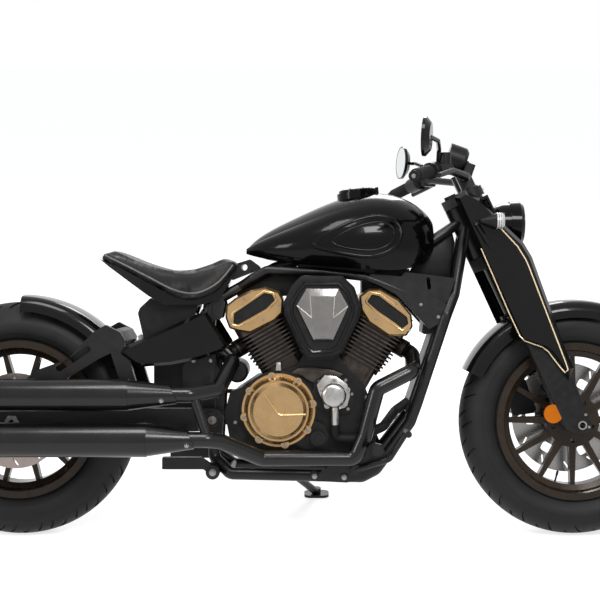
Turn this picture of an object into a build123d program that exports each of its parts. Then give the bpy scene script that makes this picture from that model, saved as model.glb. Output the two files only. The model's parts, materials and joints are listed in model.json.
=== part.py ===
from build123d import *
from math import asin, atan2, cos, degrees, hypot, pi, radians, sin, sqrt, tan
import os

# A V-twin bobber motorcycle, parked on its side stand.
# It is modelled upright, in millimetres: +X forward, +Y to its left, +Z up, the tyres on z = 0 and
# x = 0 under the middle of the bike. The finished pieces are then leaned onto the side stand together.

# Stance
WHEELBASE = 1536
REAR_AXLE_X = -776
FRONT_AXLE_X = REAR_AXLE_X + WHEELBASE
LEAN = 10.5
RAKE = 25

# Wheels and tyres
FRONT_TYRE_R = 316
FRONT_TYRE_HALF = 65
CROWN_R = 72
REAR_TYRE_R = 323
REAR_TYRE_HALF = 75
TYRE_WALL = 10
RIM_FLANGE_R = 217
RIM_SEAT_R = 205
FRONT_RIM_HALF = 53
REAR_RIM_HALF = 62
RIM_WALL = 9
SPOKES = 12
SPOKE_ROOT = 20
SPOKE_TIP = 13
SPOKE_HALF = 14
HUB_FACE_R = 74
HUB_R = 36
FRONT_HUB_HALF = 58
REAR_HUB_HALF = 78
AXLE_R = 12
AXLE_BORE_R = 8
RUNNING = 0.08
SEAT_GAP = 0.3
MOVING_GAP = 5
DISC_T = 5
FRONT_DISC_R = 155
REAR_DISC_R = 130
DISC_SLOTS = 12

# Chain drive on the left
CHAIN_Y = 98
CHAIN_HALF = 8
SPROCKET_R = 88
SPROCKET_T = 7
SPROCKET_TEETH = 36
CHAIN_H = 12
LINK_PITCH = 16
ROLLER_R = 4.5
OUTPUT_X = -150
OUTPUT_Z = 345
OUTPUT_R = 34

# Front fork, measured along the fork from the axle (s) and forward of it (t)
FORK_HALF_TRACK = 112
LEG_HALF_T = 28
FORK_T = -5
STEER_OFFSET = 40
STEER_T = FORK_T - STEER_OFFSET
TUBE_R = 27
LOWER_YOKE_S = 504
UPPER_YOKE_S = 690
LOWER_YOKE_T = 34
UPPER_YOKE_T = 26
YOKE_BOSS_R = 34
STEM_R = 14
HEAD_TUBE_R = 30
COVER_T = 18
COVER_GAP = 1

# Frame
CRADLE_Y = 100
CRADLE_R = 16
UPRIGHT_Y = 62
BACKBONE_Y = 34
BACKBONE_HALF = 14
UPPER_RAIL_R = 12
GUSSET_OUT = 88
GUSSET_IN = 66

# Engine
CRANK_X = 57
CRANK_Z = 300
BANK_ANGLE = 30
CASE_HALF = 105
FIN_COUNT = 10
FIN_T = 4.5
FIN_PITCH = 11
FIN_START = 214
FIN_HALF_W = 74
FIN_HALF_Y = 84
BARREL_GAP = 11
COVER_HALF_Y = 96
INSERT_DEPTH = 9

# Exhaust
PIPE_R = 21
PIPE_WALL = 1.8
LINK_R = 14
MUFFLER_WALL = 2.5

# Body
TANK_TUNNEL_HALF = BACKBONE_Y + BACKBONE_HALF + SEAT_GAP
FENDER_T = 3
FENDER_GAP = 18


def lateral(y):
    """A sketch plane at y: local x runs forward, local y runs up, and extruding goes to the right."""
    return Plane.XZ.offset(-y)


def wheel_plane(axle_x, axle_z, y=0):
    """A sketch plane across an axle, seen from the right side."""
    return Plane(origin=(axle_x, y, axle_z), x_dir=(1, 0, 0), z_dir=(0, -1, 0))


def axle_section(axle_x, axle_z):
    """A sketch plane through an axle: local x runs to the left, local y is the radius, upwards."""
    return Plane(origin=(axle_x, 0, axle_z), x_dir=(0, 1, 0), z_dir=(1, 0, 0))


def axle_axis(axle_x, axle_z):
    return Axis((axle_x, 0, axle_z), (0, 1, 0))


def outline(points, corner=0.0):
    """A closed polygon in the current sketch, with its corners rounded."""
    Polygon(*points, align=None)
    if corner:
        fillet(vertices(), corner)


def slab(points, y_right, y_left, corner=0.0, mode=Mode.ADD, taper=0.0):
    """Adds a plate with that side view, from y_left to y_right."""
    with BuildSketch(lateral(y_left)) as face:
        outline(points, corner)
    extrude(face.sketch, amount=y_left - y_right, mode=mode, taper=taper)


def pipe(points, radius, bend, mode=Mode.ADD):
    """Adds a round bar along straight runs joined by bends."""
    with BuildLine() as route:
        FilletPolyline(*points, radius=bend)
    with BuildSketch(Plane(origin=route.line @ 0, z_dir=route.line % 0)) as ring:
        Circle(radius)
    sweep(ring.sketch, path=route.line, mode=mode)


def rod(start, end, radius, mode=Mode.ADD):
    """Adds a straight round bar between two points."""
    way = Vector(*end) - Vector(*start)
    with BuildSketch(Plane(origin=start, z_dir=way)) as ring:
        Circle(radius)
    extrude(ring.sketch, amount=way.length, mode=mode)


def both_sides():
    """Repeats what is there on the other side of the bike."""
    mirror(about=Plane.XZ)


def fork_point(s, t, y=0.0):
    """The point s along the fork from the axle, and t forward of it."""
    r = radians(RAKE)
    return (FRONT_AXLE_X - s * sin(r) + t * cos(r), y, FRONT_TYRE_R + s * cos(r) + t * sin(r))


def fork_plane(s, t=0.0, y=0.0):
    """A plane across the fork at s: local x is forward, local y is to the left."""
    r = radians(RAKE)
    return Plane(origin=fork_point(s, t, y), x_dir=(cos(r), 0, sin(r)), z_dir=(-sin(r), 0, cos(r)))


def fork_outline(rows):
    """Side-view points from rows of (s, t)."""
    return [(fork_point(s, t)[0], fork_point(s, t)[2]) for s, t in rows]


def bank_plane(along, tilt):
    """A plane across a cylinder, at that distance from the crank: local x is forward, local y is left."""
    a = radians(tilt)
    return Plane(
        origin=(CRANK_X - along * sin(a), 0, CRANK_Z + along * cos(a)),
        x_dir=(cos(a), 0, sin(a)),
        z_dir=(-sin(a), 0, cos(a)),
    )


def bank_outline(rows, tilt):
    """Side-view points from rows of (across, along) on a cylinder bank."""
    a = radians(tilt)
    return [
        (CRANK_X - along * sin(a) + across * cos(a), CRANK_Z + along * cos(a) + across * sin(a))
        for across, along in rows
    ]


pieces = []


def keep(builder, label):
    """Names a finished piece and puts it on the list of what is written."""
    builder.part.label = label
    pieces.append(builder.part)
    return builder


# Wheels


def make_rim(label, axle_x, axle_z, rim_half, hub_half, first_spoke):
    """Cast wheel: rim barrel, twelve spokes and a hub whose face has five pockets."""
    with BuildPart() as rim:
        outer = [
            (rim_half, RIM_FLANGE_R),
            (rim_half - 5, RIM_FLANGE_R),
            (rim_half - 8, RIM_SEAT_R),
            (rim_half - 24, RIM_SEAT_R - 3),
            (rim_half - 32, RIM_SEAT_R - 18),
        ]
        inner = [(x, r - RIM_WALL) for x, r in outer[2:]]
        half = [*outer, *reversed(inner), (rim_half, RIM_SEAT_R - RIM_WALL + 2)]
        ring = [*outer, *[(-x, r) for x, r in reversed(outer)]]
        ring += [(-rim_half, RIM_SEAT_R - RIM_WALL + 2), *[(-x, r) for x, r in inner]]
        ring += [*reversed(inner), half[-1]]
        with BuildSketch(axle_section(axle_x, axle_z)):
            outline(ring)
        revolve(axis=axle_axis(axle_x, axle_z))
        spoke_end = RIM_SEAT_R - 18 - RIM_WALL / 2
        with BuildSketch(wheel_plane(axle_x, axle_z, SPOKE_HALF)):
            with PolarLocations(0, SPOKES, start_angle=first_spoke):
                Polygon(
                    (HUB_FACE_R - 10, -SPOKE_ROOT / 2),
                    (spoke_end, -SPOKE_TIP / 2),
                    (spoke_end, SPOKE_TIP / 2),
                    (HUB_FACE_R - 10, SPOKE_ROOT / 2),
                    align=None,
                )
        extrude(amount=2 * SPOKE_HALF)
        with BuildSketch(wheel_plane(axle_x, axle_z, SPOKE_HALF + 6)):
            Circle(HUB_FACE_R)
        extrude(amount=2 * (SPOKE_HALF + 6))
        with BuildSketch(wheel_plane(axle_x, axle_z, hub_half)):
            Circle(HUB_R)
        extrude(amount=2 * hub_half)
        with BuildSketch(wheel_plane(axle_x, axle_z, SPOKE_HALF + 6)):
            with PolarLocations(HUB_FACE_R - 18, 5, start_angle=54):
                RectangleRounded(13, 11, 2)
        extrude(amount=2 * (SPOKE_HALF + 6), mode=Mode.SUBTRACT)
        with BuildSketch(wheel_plane(axle_x, axle_z, hub_half)):
            Circle(AXLE_R + RUNNING)
        extrude(amount=2 * hub_half, mode=Mode.SUBTRACT)
    return keep(rim, label)


def make_tyre(label, axle_x, axle_z, crown_r, half, rim_half):
    """Tyre carcass: a crowned tread, bulged sidewalls and beads on the rim's seats."""
    tyre_r = axle_z
    crown_z = tyre_r - crown_r
    edge = 0.86 * crown_r
    inner_r = crown_r - TYRE_WALL
    inner_edge = 0.84 * inner_r
    bead = rim_half - 9
    foot = RIM_SEAT_R + SEAT_GAP
    waist = RIM_FLANGE_R + 2
    bulge = 0.55 * (crown_z + sqrt(crown_r**2 - edge**2)) + 0.45 * waist
    with BuildPart() as tyre:
        with BuildSketch(axle_section(axle_x, axle_z)):
            with BuildLine():
                top = (edge, crown_z + sqrt(crown_r**2 - edge**2))
                inside = (inner_edge, crown_z + sqrt(inner_r**2 - inner_edge**2))
                ThreePointArc((-top[0], top[1]), (0, tyre_r), top)
                ThreePointArc(top, (half, bulge), (bead + 1, waist))
                Polyline((bead + 1, waist), (bead, foot), (bead - 12, foot), (bead - 9, waist + 6))
                ThreePointArc((bead - 9, waist + 6), (half - TYRE_WALL, bulge - 2), inside)
                ThreePointArc(inside, (0, tyre_r - TYRE_WALL), (-inside[0], inside[1]))
                ThreePointArc((-inside[0], inside[1]), (TYRE_WALL - half, bulge - 2), (9 - bead, waist + 6))
                Polyline((9 - bead, waist + 6), (12 - bead, foot), (-bead, foot), (-bead - 1, waist))
                ThreePointArc((-bead - 1, waist), (-half, bulge), (-top[0], top[1]))
            make_face()
        revolve(axis=axle_axis(axle_x, axle_z))
    return keep(tyre, label)


def make_disc(label, axle_x, axle_z, radius, y_inner, side):
    """Brake disc with raked slots, a carrier with windows, and a boss that reaches the hub face."""
    face = SPOKE_HALF + 6
    y_outer = y_inner + DISC_T
    with BuildPart() as disc:
        with BuildSketch(wheel_plane(axle_x, axle_z, y_outer if side > 0 else -y_inner)):
            Circle(radius)
            with PolarLocations(radius - 18, DISC_SLOTS):
                with Locations(Location((0, 0), 35)):
                    SlotOverall(24, 5, mode=Mode.SUBTRACT)
            with PolarLocations(radius - 52, 6):
                RectangleRounded(26, 42, 8, mode=Mode.SUBTRACT)
            Circle(HUB_R + SEAT_GAP, mode=Mode.SUBTRACT)
        extrude(amount=DISC_T)
        with BuildSketch(wheel_plane(axle_x, axle_z, y_inner if side > 0 else -face - SEAT_GAP)):
            Circle(HUB_R + 14)
            Circle(HUB_R + SEAT_GAP, mode=Mode.SUBTRACT)
        extrude(amount=y_inner - face - SEAT_GAP)
    return keep(disc, label)


front_rim = make_rim("front_rim", FRONT_AXLE_X, FRONT_TYRE_R, FRONT_RIM_HALF, FRONT_HUB_HALF, 0)
rear_rim = make_rim("rear_rim", REAR_AXLE_X, REAR_TYRE_R, REAR_RIM_HALF, REAR_HUB_HALF, 15)
front_tyre = make_tyre(
    "front_tyre", FRONT_AXLE_X, FRONT_TYRE_R, CROWN_R, FRONT_TYRE_HALF, FRONT_RIM_HALF
)
rear_tyre = make_tyre("rear_tyre", REAR_AXLE_X, REAR_TYRE_R, CROWN_R, REAR_TYRE_HALF, REAR_RIM_HALF)
FRONT_DISC_Y = FRONT_TYRE_HALF + 5
REAR_DISC_Y = 88
front_disc = make_disc("front_disc", FRONT_AXLE_X, FRONT_TYRE_R, FRONT_DISC_R, FRONT_DISC_Y, 1)
rear_disc = make_disc("rear_disc", REAR_AXLE_X, REAR_TYRE_R, REAR_DISC_R, REAR_DISC_Y, -1)

with BuildPart() as rear_sprocket:
    with BuildSketch(wheel_plane(REAR_AXLE_X, REAR_TYRE_R, CHAIN_Y + SPROCKET_T / 2)):
        Circle(SPROCKET_R - 5)
        with PolarLocations(SPROCKET_R - 4, SPROCKET_TEETH):
            Trapezoid(9, 9, 68, rotation=-90)
        with PolarLocations(58, 5):
            SlotOverall(30, 18, rotation=90, mode=Mode.SUBTRACT)
        Circle(HUB_R + SEAT_GAP, mode=Mode.SUBTRACT)
    extrude(amount=SPROCKET_T)
    with BuildSketch(wheel_plane(REAR_AXLE_X, REAR_TYRE_R, CHAIN_Y - SPROCKET_T / 2)):
        Circle(HUB_R + 8)
        Circle(HUB_R + SEAT_GAP, mode=Mode.SUBTRACT)
    extrude(amount=CHAIN_Y - SPROCKET_T / 2 - SPOKE_HALF - 6 - SEAT_GAP)
keep(rear_sprocket, "rear_sprocket")

# Drive chain: one closed loop round the two sprockets, its link plates in its outline


def chain_loop():
    """Centres, radii and tangent angle of the loop round both sprockets."""
    dx, dz = OUTPUT_X - REAR_AXLE_X, OUTPUT_Z - REAR_TYRE_R
    reach = hypot(dx, dz)
    big, small = SPROCKET_R + MOVING_GAP + CHAIN_H / 2, OUTPUT_R + CHAIN_H / 2
    return dx, dz, reach, big, small, atan2(dz, dx), asin((big - small) / reach)


CHAIN_DX, CHAIN_DZ, CHAIN_REACH, CHAIN_BIG, CHAIN_SMALL, CHAIN_TILT, CHAIN_SPLAY = chain_loop()
with BuildPart() as chain:
    with BuildSketch(wheel_plane(REAR_AXLE_X, REAR_TYRE_R, CHAIN_Y + CHAIN_HALF)):
        with BuildLine():
            b, s = CHAIN_BIG + ROLLER_R, CHAIN_SMALL + ROLLER_R
            up, down = CHAIN_TILT + pi / 2 - CHAIN_SPLAY, CHAIN_TILT - pi / 2 + CHAIN_SPLAY
            back = CHAIN_TILT + pi
            big_up, big_down = (b * cos(up), b * sin(up)), (b * cos(down), b * sin(down))
            small_up = (CHAIN_DX + s * cos(up), CHAIN_DZ + s * sin(up))
            small_down = (CHAIN_DX + s * cos(down), CHAIN_DZ + s * sin(down))
            tip = (CHAIN_DX + s * cos(CHAIN_TILT), CHAIN_DZ + s * sin(CHAIN_TILT))
            ThreePointArc(big_up, (b * cos(back), b * sin(back)), big_down)
            Line(big_down, small_down)
            ThreePointArc(small_down, tip, small_up)
            Line(small_up, big_up)
        make_face()
        run = CHAIN_REACH * cos(CHAIN_SPLAY)
        links = int(run / LINK_PITCH / 2)
        for tangent in (CHAIN_TILT - CHAIN_SPLAY, CHAIN_TILT + CHAIN_SPLAY):
            high = tangent < CHAIN_TILT
            normal = tangent + (pi / 2 if high else -pi / 2)
            for i in range(links):
                along = (i + 0.5) * run / links
                px = CHAIN_BIG * cos(normal) + along * cos(tangent)
                pz = CHAIN_BIG * sin(normal) + along * sin(tangent)
                with Locations(Location((px, pz), degrees(tangent))):
                    Rectangle(LINK_PITCH, CHAIN_H)
        for i in range(SPROCKET_TEETH // 4):
            around = CHAIN_TILT + pi / 2 + (i + 0.5) * pi / (SPROCKET_TEETH // 4)
            with Locations(Location((CHAIN_BIG * cos(around), CHAIN_BIG * sin(around)), degrees(around) + 90)):
                Rectangle(LINK_PITCH, CHAIN_H)
    extrude(amount=2 * CHAIN_HALF)
    with BuildSketch(wheel_plane(REAR_AXLE_X, REAR_TYRE_R, CHAIN_Y + CHAIN_HALF)):
        with BuildLine():
            b, s = CHAIN_BIG - CHAIN_H / 2, CHAIN_SMALL - CHAIN_H / 2
            ThreePointArc((b * cos(up), b * sin(up)), (b * cos(back), b * sin(back)), (b * cos(down), b * sin(down)))
            Line((b * cos(down), b * sin(down)), (CHAIN_DX + s * cos(down), CHAIN_DZ + s * sin(down)))
            ThreePointArc(
                (CHAIN_DX + s * cos(down), CHAIN_DZ + s * sin(down)),
                (CHAIN_DX + s * cos(CHAIN_TILT), CHAIN_DZ + s * sin(CHAIN_TILT)),
                (CHAIN_DX + s * cos(up), CHAIN_DZ + s * sin(up)),
            )
            Line((CHAIN_DX + s * cos(up), CHAIN_DZ + s * sin(up)), (b * cos(up), b * sin(up)))
        make_face()
    extrude(amount=2 * CHAIN_HALF, mode=Mode.SUBTRACT)
keep(chain, "chain")

# Front end

LEG_Y = FORK_HALF_TRACK
LEG_IN = LEG_Y - LEG_HALF_T
LEG_OUT = LEG_Y + LEG_HALF_T
LEG_TOP_S = 335
COVER_IN = LEG_Y + YOKE_BOSS_R + COVER_GAP

with BuildPart() as front_axle:
    with BuildSketch(wheel_plane(FRONT_AXLE_X, FRONT_TYRE_R, LEG_OUT + 4)):
        Circle(AXLE_R)
        Circle(AXLE_BORE_R, mode=Mode.SUBTRACT)
    extrude(amount=2 * LEG_OUT + 8)
    with BuildSketch(wheel_plane(FRONT_AXLE_X, FRONT_TYRE_R, LEG_OUT + 4)):
        RegularPolygon(20, 6)
        Circle(AXLE_BORE_R, mode=Mode.SUBTRACT)
    extrude(amount=3.5)
keep(front_axle, "front_axle")

# Lower fork legs: wide cast covers whose foot holds the axle
with BuildPart() as fork_legs:
    leg_rows = [(-24, 2), (-18, 22), (4, 28), (134, 33), (LEG_TOP_S, 35), (LEG_TOP_S, -45), (12, -45), (-18, -22)]
    slab(fork_outline(leg_rows), -LEG_OUT, -LEG_IN)
    long_edges = edges().filter_by(lambda e: e.length > 100)
    fillet(long_edges, 14)
    with BuildSketch(wheel_plane(FRONT_AXLE_X, FRONT_TYRE_R, 0)):
        Circle(AXLE_R)
    extrude(amount=LEG_OUT + 10, mode=Mode.SUBTRACT)
    with BuildSketch(fork_plane(LEG_TOP_S - 60, FORK_T, -LEG_Y)):
        Circle(TUBE_R)
    extrude(amount=80, mode=Mode.SUBTRACT)
    both_sides()
keep(fork_legs, "fork_legs")

TUBE_START_S = LEG_TOP_S - 60
TUBE_TOP_S = UPPER_YOKE_S + UPPER_YOKE_T / 2 + 6
with BuildPart() as fork_tubes:
    with BuildSketch(fork_plane(TUBE_START_S, FORK_T, -LEG_Y)):
        Circle(TUBE_R)
    extrude(amount=TUBE_TOP_S - TUBE_START_S)
    chamfer(faces().sort_by(Axis.Z)[-1].edges(), 4)
    both_sides()
keep(fork_tubes, "fork_tubes")


def yoke(s, thickness):
    """A fork yoke: bosses round both tubes, joined across the steering stem."""
    with BuildSketch(fork_plane(s - thickness / 2, 0, 0)) as bosses:
        with Locations((FORK_T, -LEG_Y), (FORK_T, LEG_Y)):
            Circle(YOKE_BOSS_R)
        with Locations((STEER_T, 0)):
            Circle(HEAD_TUBE_R)
        make_hull()
        with Locations((FORK_T, -LEG_Y), (FORK_T, LEG_Y)):
            Circle(TUBE_R + 0.05, mode=Mode.SUBTRACT)
    extrude(bosses.sketch, amount=thickness)


STEM_TOP_S = UPPER_YOKE_S + UPPER_YOKE_T / 2
with BuildPart() as yokes:
    yoke(LOWER_YOKE_S, LOWER_YOKE_T)
    yoke(UPPER_YOKE_S, UPPER_YOKE_T)
    with BuildSketch(fork_plane(LOWER_YOKE_S, STEER_T)):
        Circle(STEM_R)
    extrude(amount=STEM_TOP_S - LOWER_YOKE_S)
    with BuildSketch(fork_plane(STEM_TOP_S, STEER_T)):
        RegularPolygon(17, 6)
    extrude(amount=9)
keep(yokes, "yokes")

# Fork covers: tall faceted panels outside the tubes, pointed at the bottom, with a slim raised vent
COVER_OUTLINE = [
    (414, 929), (442, 948), (484, 927), (514, 897), (541, 863), (600, 807), (623, 769), (709, 532),
    (735, 470), (722, 437), (671, 508), (655, 521), (590, 543),
]
YOKE_GAP_LOW = LOWER_YOKE_S + LOWER_YOKE_T / 2
YOKE_GAP_TOP = UPPER_YOKE_S - UPPER_YOKE_T / 2
with BuildPart() as fork_covers:
    with BuildSketch(lateral(-COVER_IN)):
        outline(COVER_OUTLINE)
    extrude(amount=COVER_T, taper=30)
    for s in (YOKE_GAP_LOW + 6, YOKE_GAP_TOP - 14):
        slab(fork_outline([(s, 30), (s, -40), (s + 8, -40), (s + 8, 30)]), -COVER_IN, -LEG_IN)
    slab(fork_outline([(YOKE_GAP_LOW + 6, 30), (YOKE_GAP_TOP - 6, 30), (YOKE_GAP_TOP - 6, 24), (YOKE_GAP_LOW + 6, 24)]),
         -COVER_IN, -LEG_IN)
    with BuildSketch(fork_plane(YOKE_GAP_LOW, FORK_T, -LEG_Y)):
        Circle(TUBE_R + SEAT_GAP)
    extrude(amount=YOKE_GAP_TOP - YOKE_GAP_LOW, mode=Mode.SUBTRACT)
    slab(fork_outline([(532, -28), (618, -36), (618, -20), (532, -10)]), -COVER_IN - COVER_T - 5, -COVER_IN, corner=6)
    both_sides()
keep(fork_covers, "fork_covers")


def make_fender(label, axle_x, axle_z, gap, half, skirt, start, sweep_angle, pads=()):
    """A mudguard: a crown round the tyre with side skirts, from start degrees above the horizon."""
    inner = axle_z + gap
    outer = inner + FENDER_T
    r = radians(start)
    plane = Plane(origin=(axle_x, 0, axle_z), x_dir=(0, 1, 0), z_dir=(sin(r), 0, -cos(r)))
    with BuildPart() as fender:
        with BuildSketch(plane):
            with BuildLine():
                Polyline((-half, inner - skirt), (-half, inner - 26))
                ThreePointArc((-half, inner - 26), (-half + 10, inner - 8), (-half + 30, outer - 3))
                ThreePointArc((-half + 30, outer - 3), (0, outer), (half - 30, outer - 3))
                ThreePointArc((half - 30, outer - 3), (half - 10, inner - 8), (half, inner - 26))
                Polyline((half, inner - 26), (half, inner - skirt), (half - FENDER_T, inner - skirt),
                         (half - FENDER_T, inner - 27))
                ThreePointArc((half - FENDER_T, inner - 27), (half - 13, inner - 11), (half - 31, outer - 6))
                ThreePointArc((half - 31, outer - 6), (0, inner), (31 - half, outer - 6))
                ThreePointArc((31 - half, outer - 6), (13 - half, inner - 11), (FENDER_T - half, inner - 27))
                Polyline((FENDER_T - half, inner - 27), (FENDER_T - half, inner - skirt), (-half, inner - skirt))
            make_face()
        revolve(axis=axle_axis(axle_x, axle_z), revolution_arc=sweep_angle)
        for x, z, radius, y_end in pads:
            with BuildSketch(lateral(-half + 1)):
                with Locations((x, z)):
                    Circle(radius)
            extrude(amount=y_end - half + 1)
            with BuildSketch(lateral(y_end)):
                with Locations((x, z)):
                    Circle(radius)
            extrude(amount=y_end - half + 1)
    return keep(fender, label)


FRONT_FENDER_HALF = 79
fender_pad = fork_point(300, -5)
front_fender = make_fender(
    "front_fender", FRONT_AXLE_X, FRONT_TYRE_R, FENDER_GAP, FRONT_FENDER_HALF, 46, 155, 79,
    pads=[(fender_pad[0], fender_pad[2], 16, LEG_IN)],
)

# Headlight: a round bucket on a short bracket from the lower yoke
LAMP_X = 573
LAMP_Z = 865
LAMP_R = 61
LAMP_FACE_X = 621
with BuildPart() as headlight:
    with BuildSketch(Plane.XZ):
        with BuildLine():
            Polyline((526, LAMP_Z), (526, LAMP_Z + 22))
            ThreePointArc((526, LAMP_Z + 22), (541, LAMP_Z + 44), (566, LAMP_Z + 56))
            Polyline((566, LAMP_Z + 56), (584, LAMP_Z + 57), (584, LAMP_Z + LAMP_R), (612, LAMP_Z + LAMP_R),
                     (LAMP_FACE_X, LAMP_Z + LAMP_R - 8), (LAMP_FACE_X, LAMP_Z + LAMP_R - 13),
                     (606, LAMP_Z + LAMP_R - 13), (600, LAMP_Z + 30), (592, LAMP_Z), (526, LAMP_Z))
        make_face()
    revolve(axis=Axis((0, 0, LAMP_Z), (1, 0, 0)))
    rod((566, 0, LAMP_Z - 30), (fork_point(LOWER_YOKE_S + LOWER_YOKE_T / 2, 12)), 11)
    add(yokes.part, mode=Mode.SUBTRACT)
keep(headlight, "headlight")

with BuildPart() as headlight_lens:
    rod((606.3, 0, LAMP_Z), (LAMP_FACE_X - 1, 0, LAMP_Z), LAMP_R - 13.3)
    fillet(faces().sort_by(Axis.X)[-1].edges(), 7)
keep(headlight_lens, "headlight_lens")

INDICATOR_Y = 190
with BuildPart() as front_indicators:
    with BuildSketch(Plane.XZ.offset(INDICATOR_Y)):
        with BuildLine():
            Polyline((479, 864), (479, 868), (521, 885), (537, 885), (541, 880), (541, 864), (479, 864))
        make_face()
    revolve(axis=Axis((0, -INDICATOR_Y, 864), (1, 0, 0)))
    rod((497, -INDICATOR_Y, 864), (497, -COVER_IN - 3, 864), 6)
    add(fork_covers.part, mode=Mode.SUBTRACT)
    both_sides()
keep(front_indicators, "front_indicators")

# Handlebar: one bent bar on two risers
BAR_R = 11
BAR_S = 738
BAR_T = 6
BAR_X, _, BAR_Z = fork_point(BAR_S, BAR_T)
GRIP_END = (287, 385, 968)
GRIP_START = (338, 262, 990)
with BuildPart() as handlebar:
    pipe(
        [(BAR_X, 0, BAR_Z), (BAR_X, -105, BAR_Z), (388, -190, 1001), (GRIP_START[0], -GRIP_START[1], GRIP_START[2]),
         (GRIP_END[0], -GRIP_END[1], GRIP_END[2])],
        BAR_R, 34,
    )
    both_sides()
    for y in (-44, 44):
        with BuildSketch(fork_plane(STEM_TOP_S, BAR_T, y)):
            RectangleRounded(40, 30, 6)
        extrude(amount=BAR_S - STEM_TOP_S + 18)
keep(handlebar, "handlebar")


def along_grip(share):
    """A point on the right grip's line, from its inner end to the bar end."""
    return tuple(
        a + (b - a) * share
        for a, b in zip((GRIP_START[0], -GRIP_START[1], GRIP_START[2]), (GRIP_END[0], -GRIP_END[1], GRIP_END[2]))
    )


with BuildPart() as grips:
    rod(along_grip(0.06), along_grip(0.96), 16)
    rod(along_grip(0.96), along_grip(1.06), 14)
    rod(along_grip(0.06), along_grip(0.1), 19)
    add(handlebar.part, mode=Mode.SUBTRACT)
    both_sides()
keep(grips, "grips")

# Hand controls: switch housings, lever perches and levers, with a small brake fluid pot on the right
with BuildPart() as hand_controls:
    rod(along_grip(-0.34), along_grip(0.05), 22)
    perch = along_grip(-0.34)
    with BuildSketch(Plane(origin=(perch[0] + 24, perch[1], perch[2]), x_dir=(1, 0, 0), z_dir=(0, 0, 1))):
        RectangleRounded(44, 34, 6)
    extrude(amount=13, both=True)
    lever_root = (perch[0] + 44, perch[1] - 6, perch[2] - 4)
    lever_bend = (perch[0] + 38, perch[1] - 60, perch[2] - 8)
    lever_tip = (GRIP_END[0] + 62, -GRIP_END[1] + 14, GRIP_END[2] + 2)
    pipe([lever_root, lever_bend, lever_tip], 6.5, 30)
    rod((perch[0] + 26, perch[1], perch[2]), (perch[0] + 26, perch[1], perch[2] + 44), 16)
    add(handlebar.part, mode=Mode.SUBTRACT)
    both_sides()
keep(hand_controls, "hand_controls")

# Mirrors: round heads on stems that rise from the perches
MIRROR_R = 50
MIRROR_X = 318
MIRROR_Y = 368
MIRROR_Z = 1068
MIRROR_LIP = 3
GLASS_T = 3
mirror_plane = Plane(origin=(MIRROR_X, -MIRROR_Y, MIRROR_Z), z_dir=(-1, 0.22, 0.06))
with BuildPart() as mirrors:
    foot_at = (perch[0] + 8, perch[1] + 2, perch[2] + 13)
    pipe([foot_at, (perch[0] + 8, perch[1] - 20, perch[2] + 50), (352, -322, 1062), (MIRROR_X + 8, -MIRROR_Y, MIRROR_Z)], 6, 12)
    with BuildSketch(mirror_plane):
        Circle(MIRROR_R)
    extrude(amount=8)
    with BuildSketch(mirror_plane.offset(8)):
        Circle(MIRROR_R - MIRROR_LIP)
    extrude(amount=-GLASS_T, mode=Mode.SUBTRACT)
    with BuildSketch(Plane(origin=mirror_plane.origin, z_dir=-mirror_plane.z_dir)):
        Circle(MIRROR_R)
    extrude(amount=12, taper=50)
    add(hand_controls.part, mode=Mode.SUBTRACT)
    both_sides()
keep(mirrors, "mirrors")

with BuildPart() as mirror_glass:
    with BuildSketch(mirror_plane.offset(8 - GLASS_T + SEAT_GAP)):
        Circle(MIRROR_R - MIRROR_LIP - SEAT_GAP)
    extrude(amount=GLASS_T - 2 * SEAT_GAP)
    both_sides()
keep(mirror_glass, "mirror_glass")

POD_TILT = 20
POD_R = 37
POD_BACK = 30
POD_FRONT = 24
with BuildPart() as instrument:
    pod = Plane(origin=(436, 0, 1047), z_dir=(-cos(radians(POD_TILT)), 0, sin(radians(POD_TILT))))
    with BuildSketch(pod.offset(-POD_BACK)):
        Circle(POD_R)
    extrude(amount=POD_BACK + POD_FRONT)
    chamfer(faces().sort_by(Axis((436, 0, 1047), pod.z_dir))[0].edges(), 9)
    with BuildSketch(pod.offset(POD_FRONT)):
        Circle(POD_R - 5)
    extrude(amount=-4, mode=Mode.SUBTRACT)
    with BuildSketch(Plane(origin=(468, 0, 1010), z_dir=(0.35, 0, 1))):
        RectangleRounded(28, 60, 6)
    extrude(amount=22, both=True)
    rod((466, 0, 1026), (444, 0, 1042), 14)
    add(handlebar.part, mode=Mode.SUBTRACT)
    add(yokes.part, mode=Mode.SUBTRACT)
keep(instrument, "instrument")

# Amber side reflectors on short arms behind the fork legs
REFLECTOR = (683, 346)
with BuildPart() as reflectors:
    with BuildSketch(lateral(-LEG_Y - 14)):
        with Locations(REFLECTOR):
            Circle(25)
    extrude(amount=9)
    with BuildSketch(lateral(-LEG_Y - 4)):
        with Locations((700, 350)):
            Rectangle(50, 16)
    extrude(amount=11)
    add(fork_legs.part, mode=Mode.SUBTRACT)
    both_sides()
keep(reflectors, "reflectors")

# Front caliper, over the disc behind the left leg
with BuildPart() as front_caliper:
    caliper = [(156, -62), (160, -118), (70, -140), (48, -70)]
    slab(fork_outline(caliper), FRONT_DISC_Y - 12, FRONT_DISC_Y + DISC_T + 34, corner=12)
    rod((FRONT_AXLE_X, FRONT_DISC_Y - 1.5, FRONT_TYRE_R), (FRONT_AXLE_X, FRONT_DISC_Y + DISC_T + 1.5, FRONT_TYRE_R),
        FRONT_DISC_R + 5, mode=Mode.SUBTRACT)
    slab(fork_outline([(140, -44), (140, -70), (70, -70), (60, -44)]), LEG_IN + 6, LEG_IN + 24)
    add(fork_legs.part, mode=Mode.SUBTRACT)
keep(front_caliper, "front_caliper")

# Frame

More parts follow.
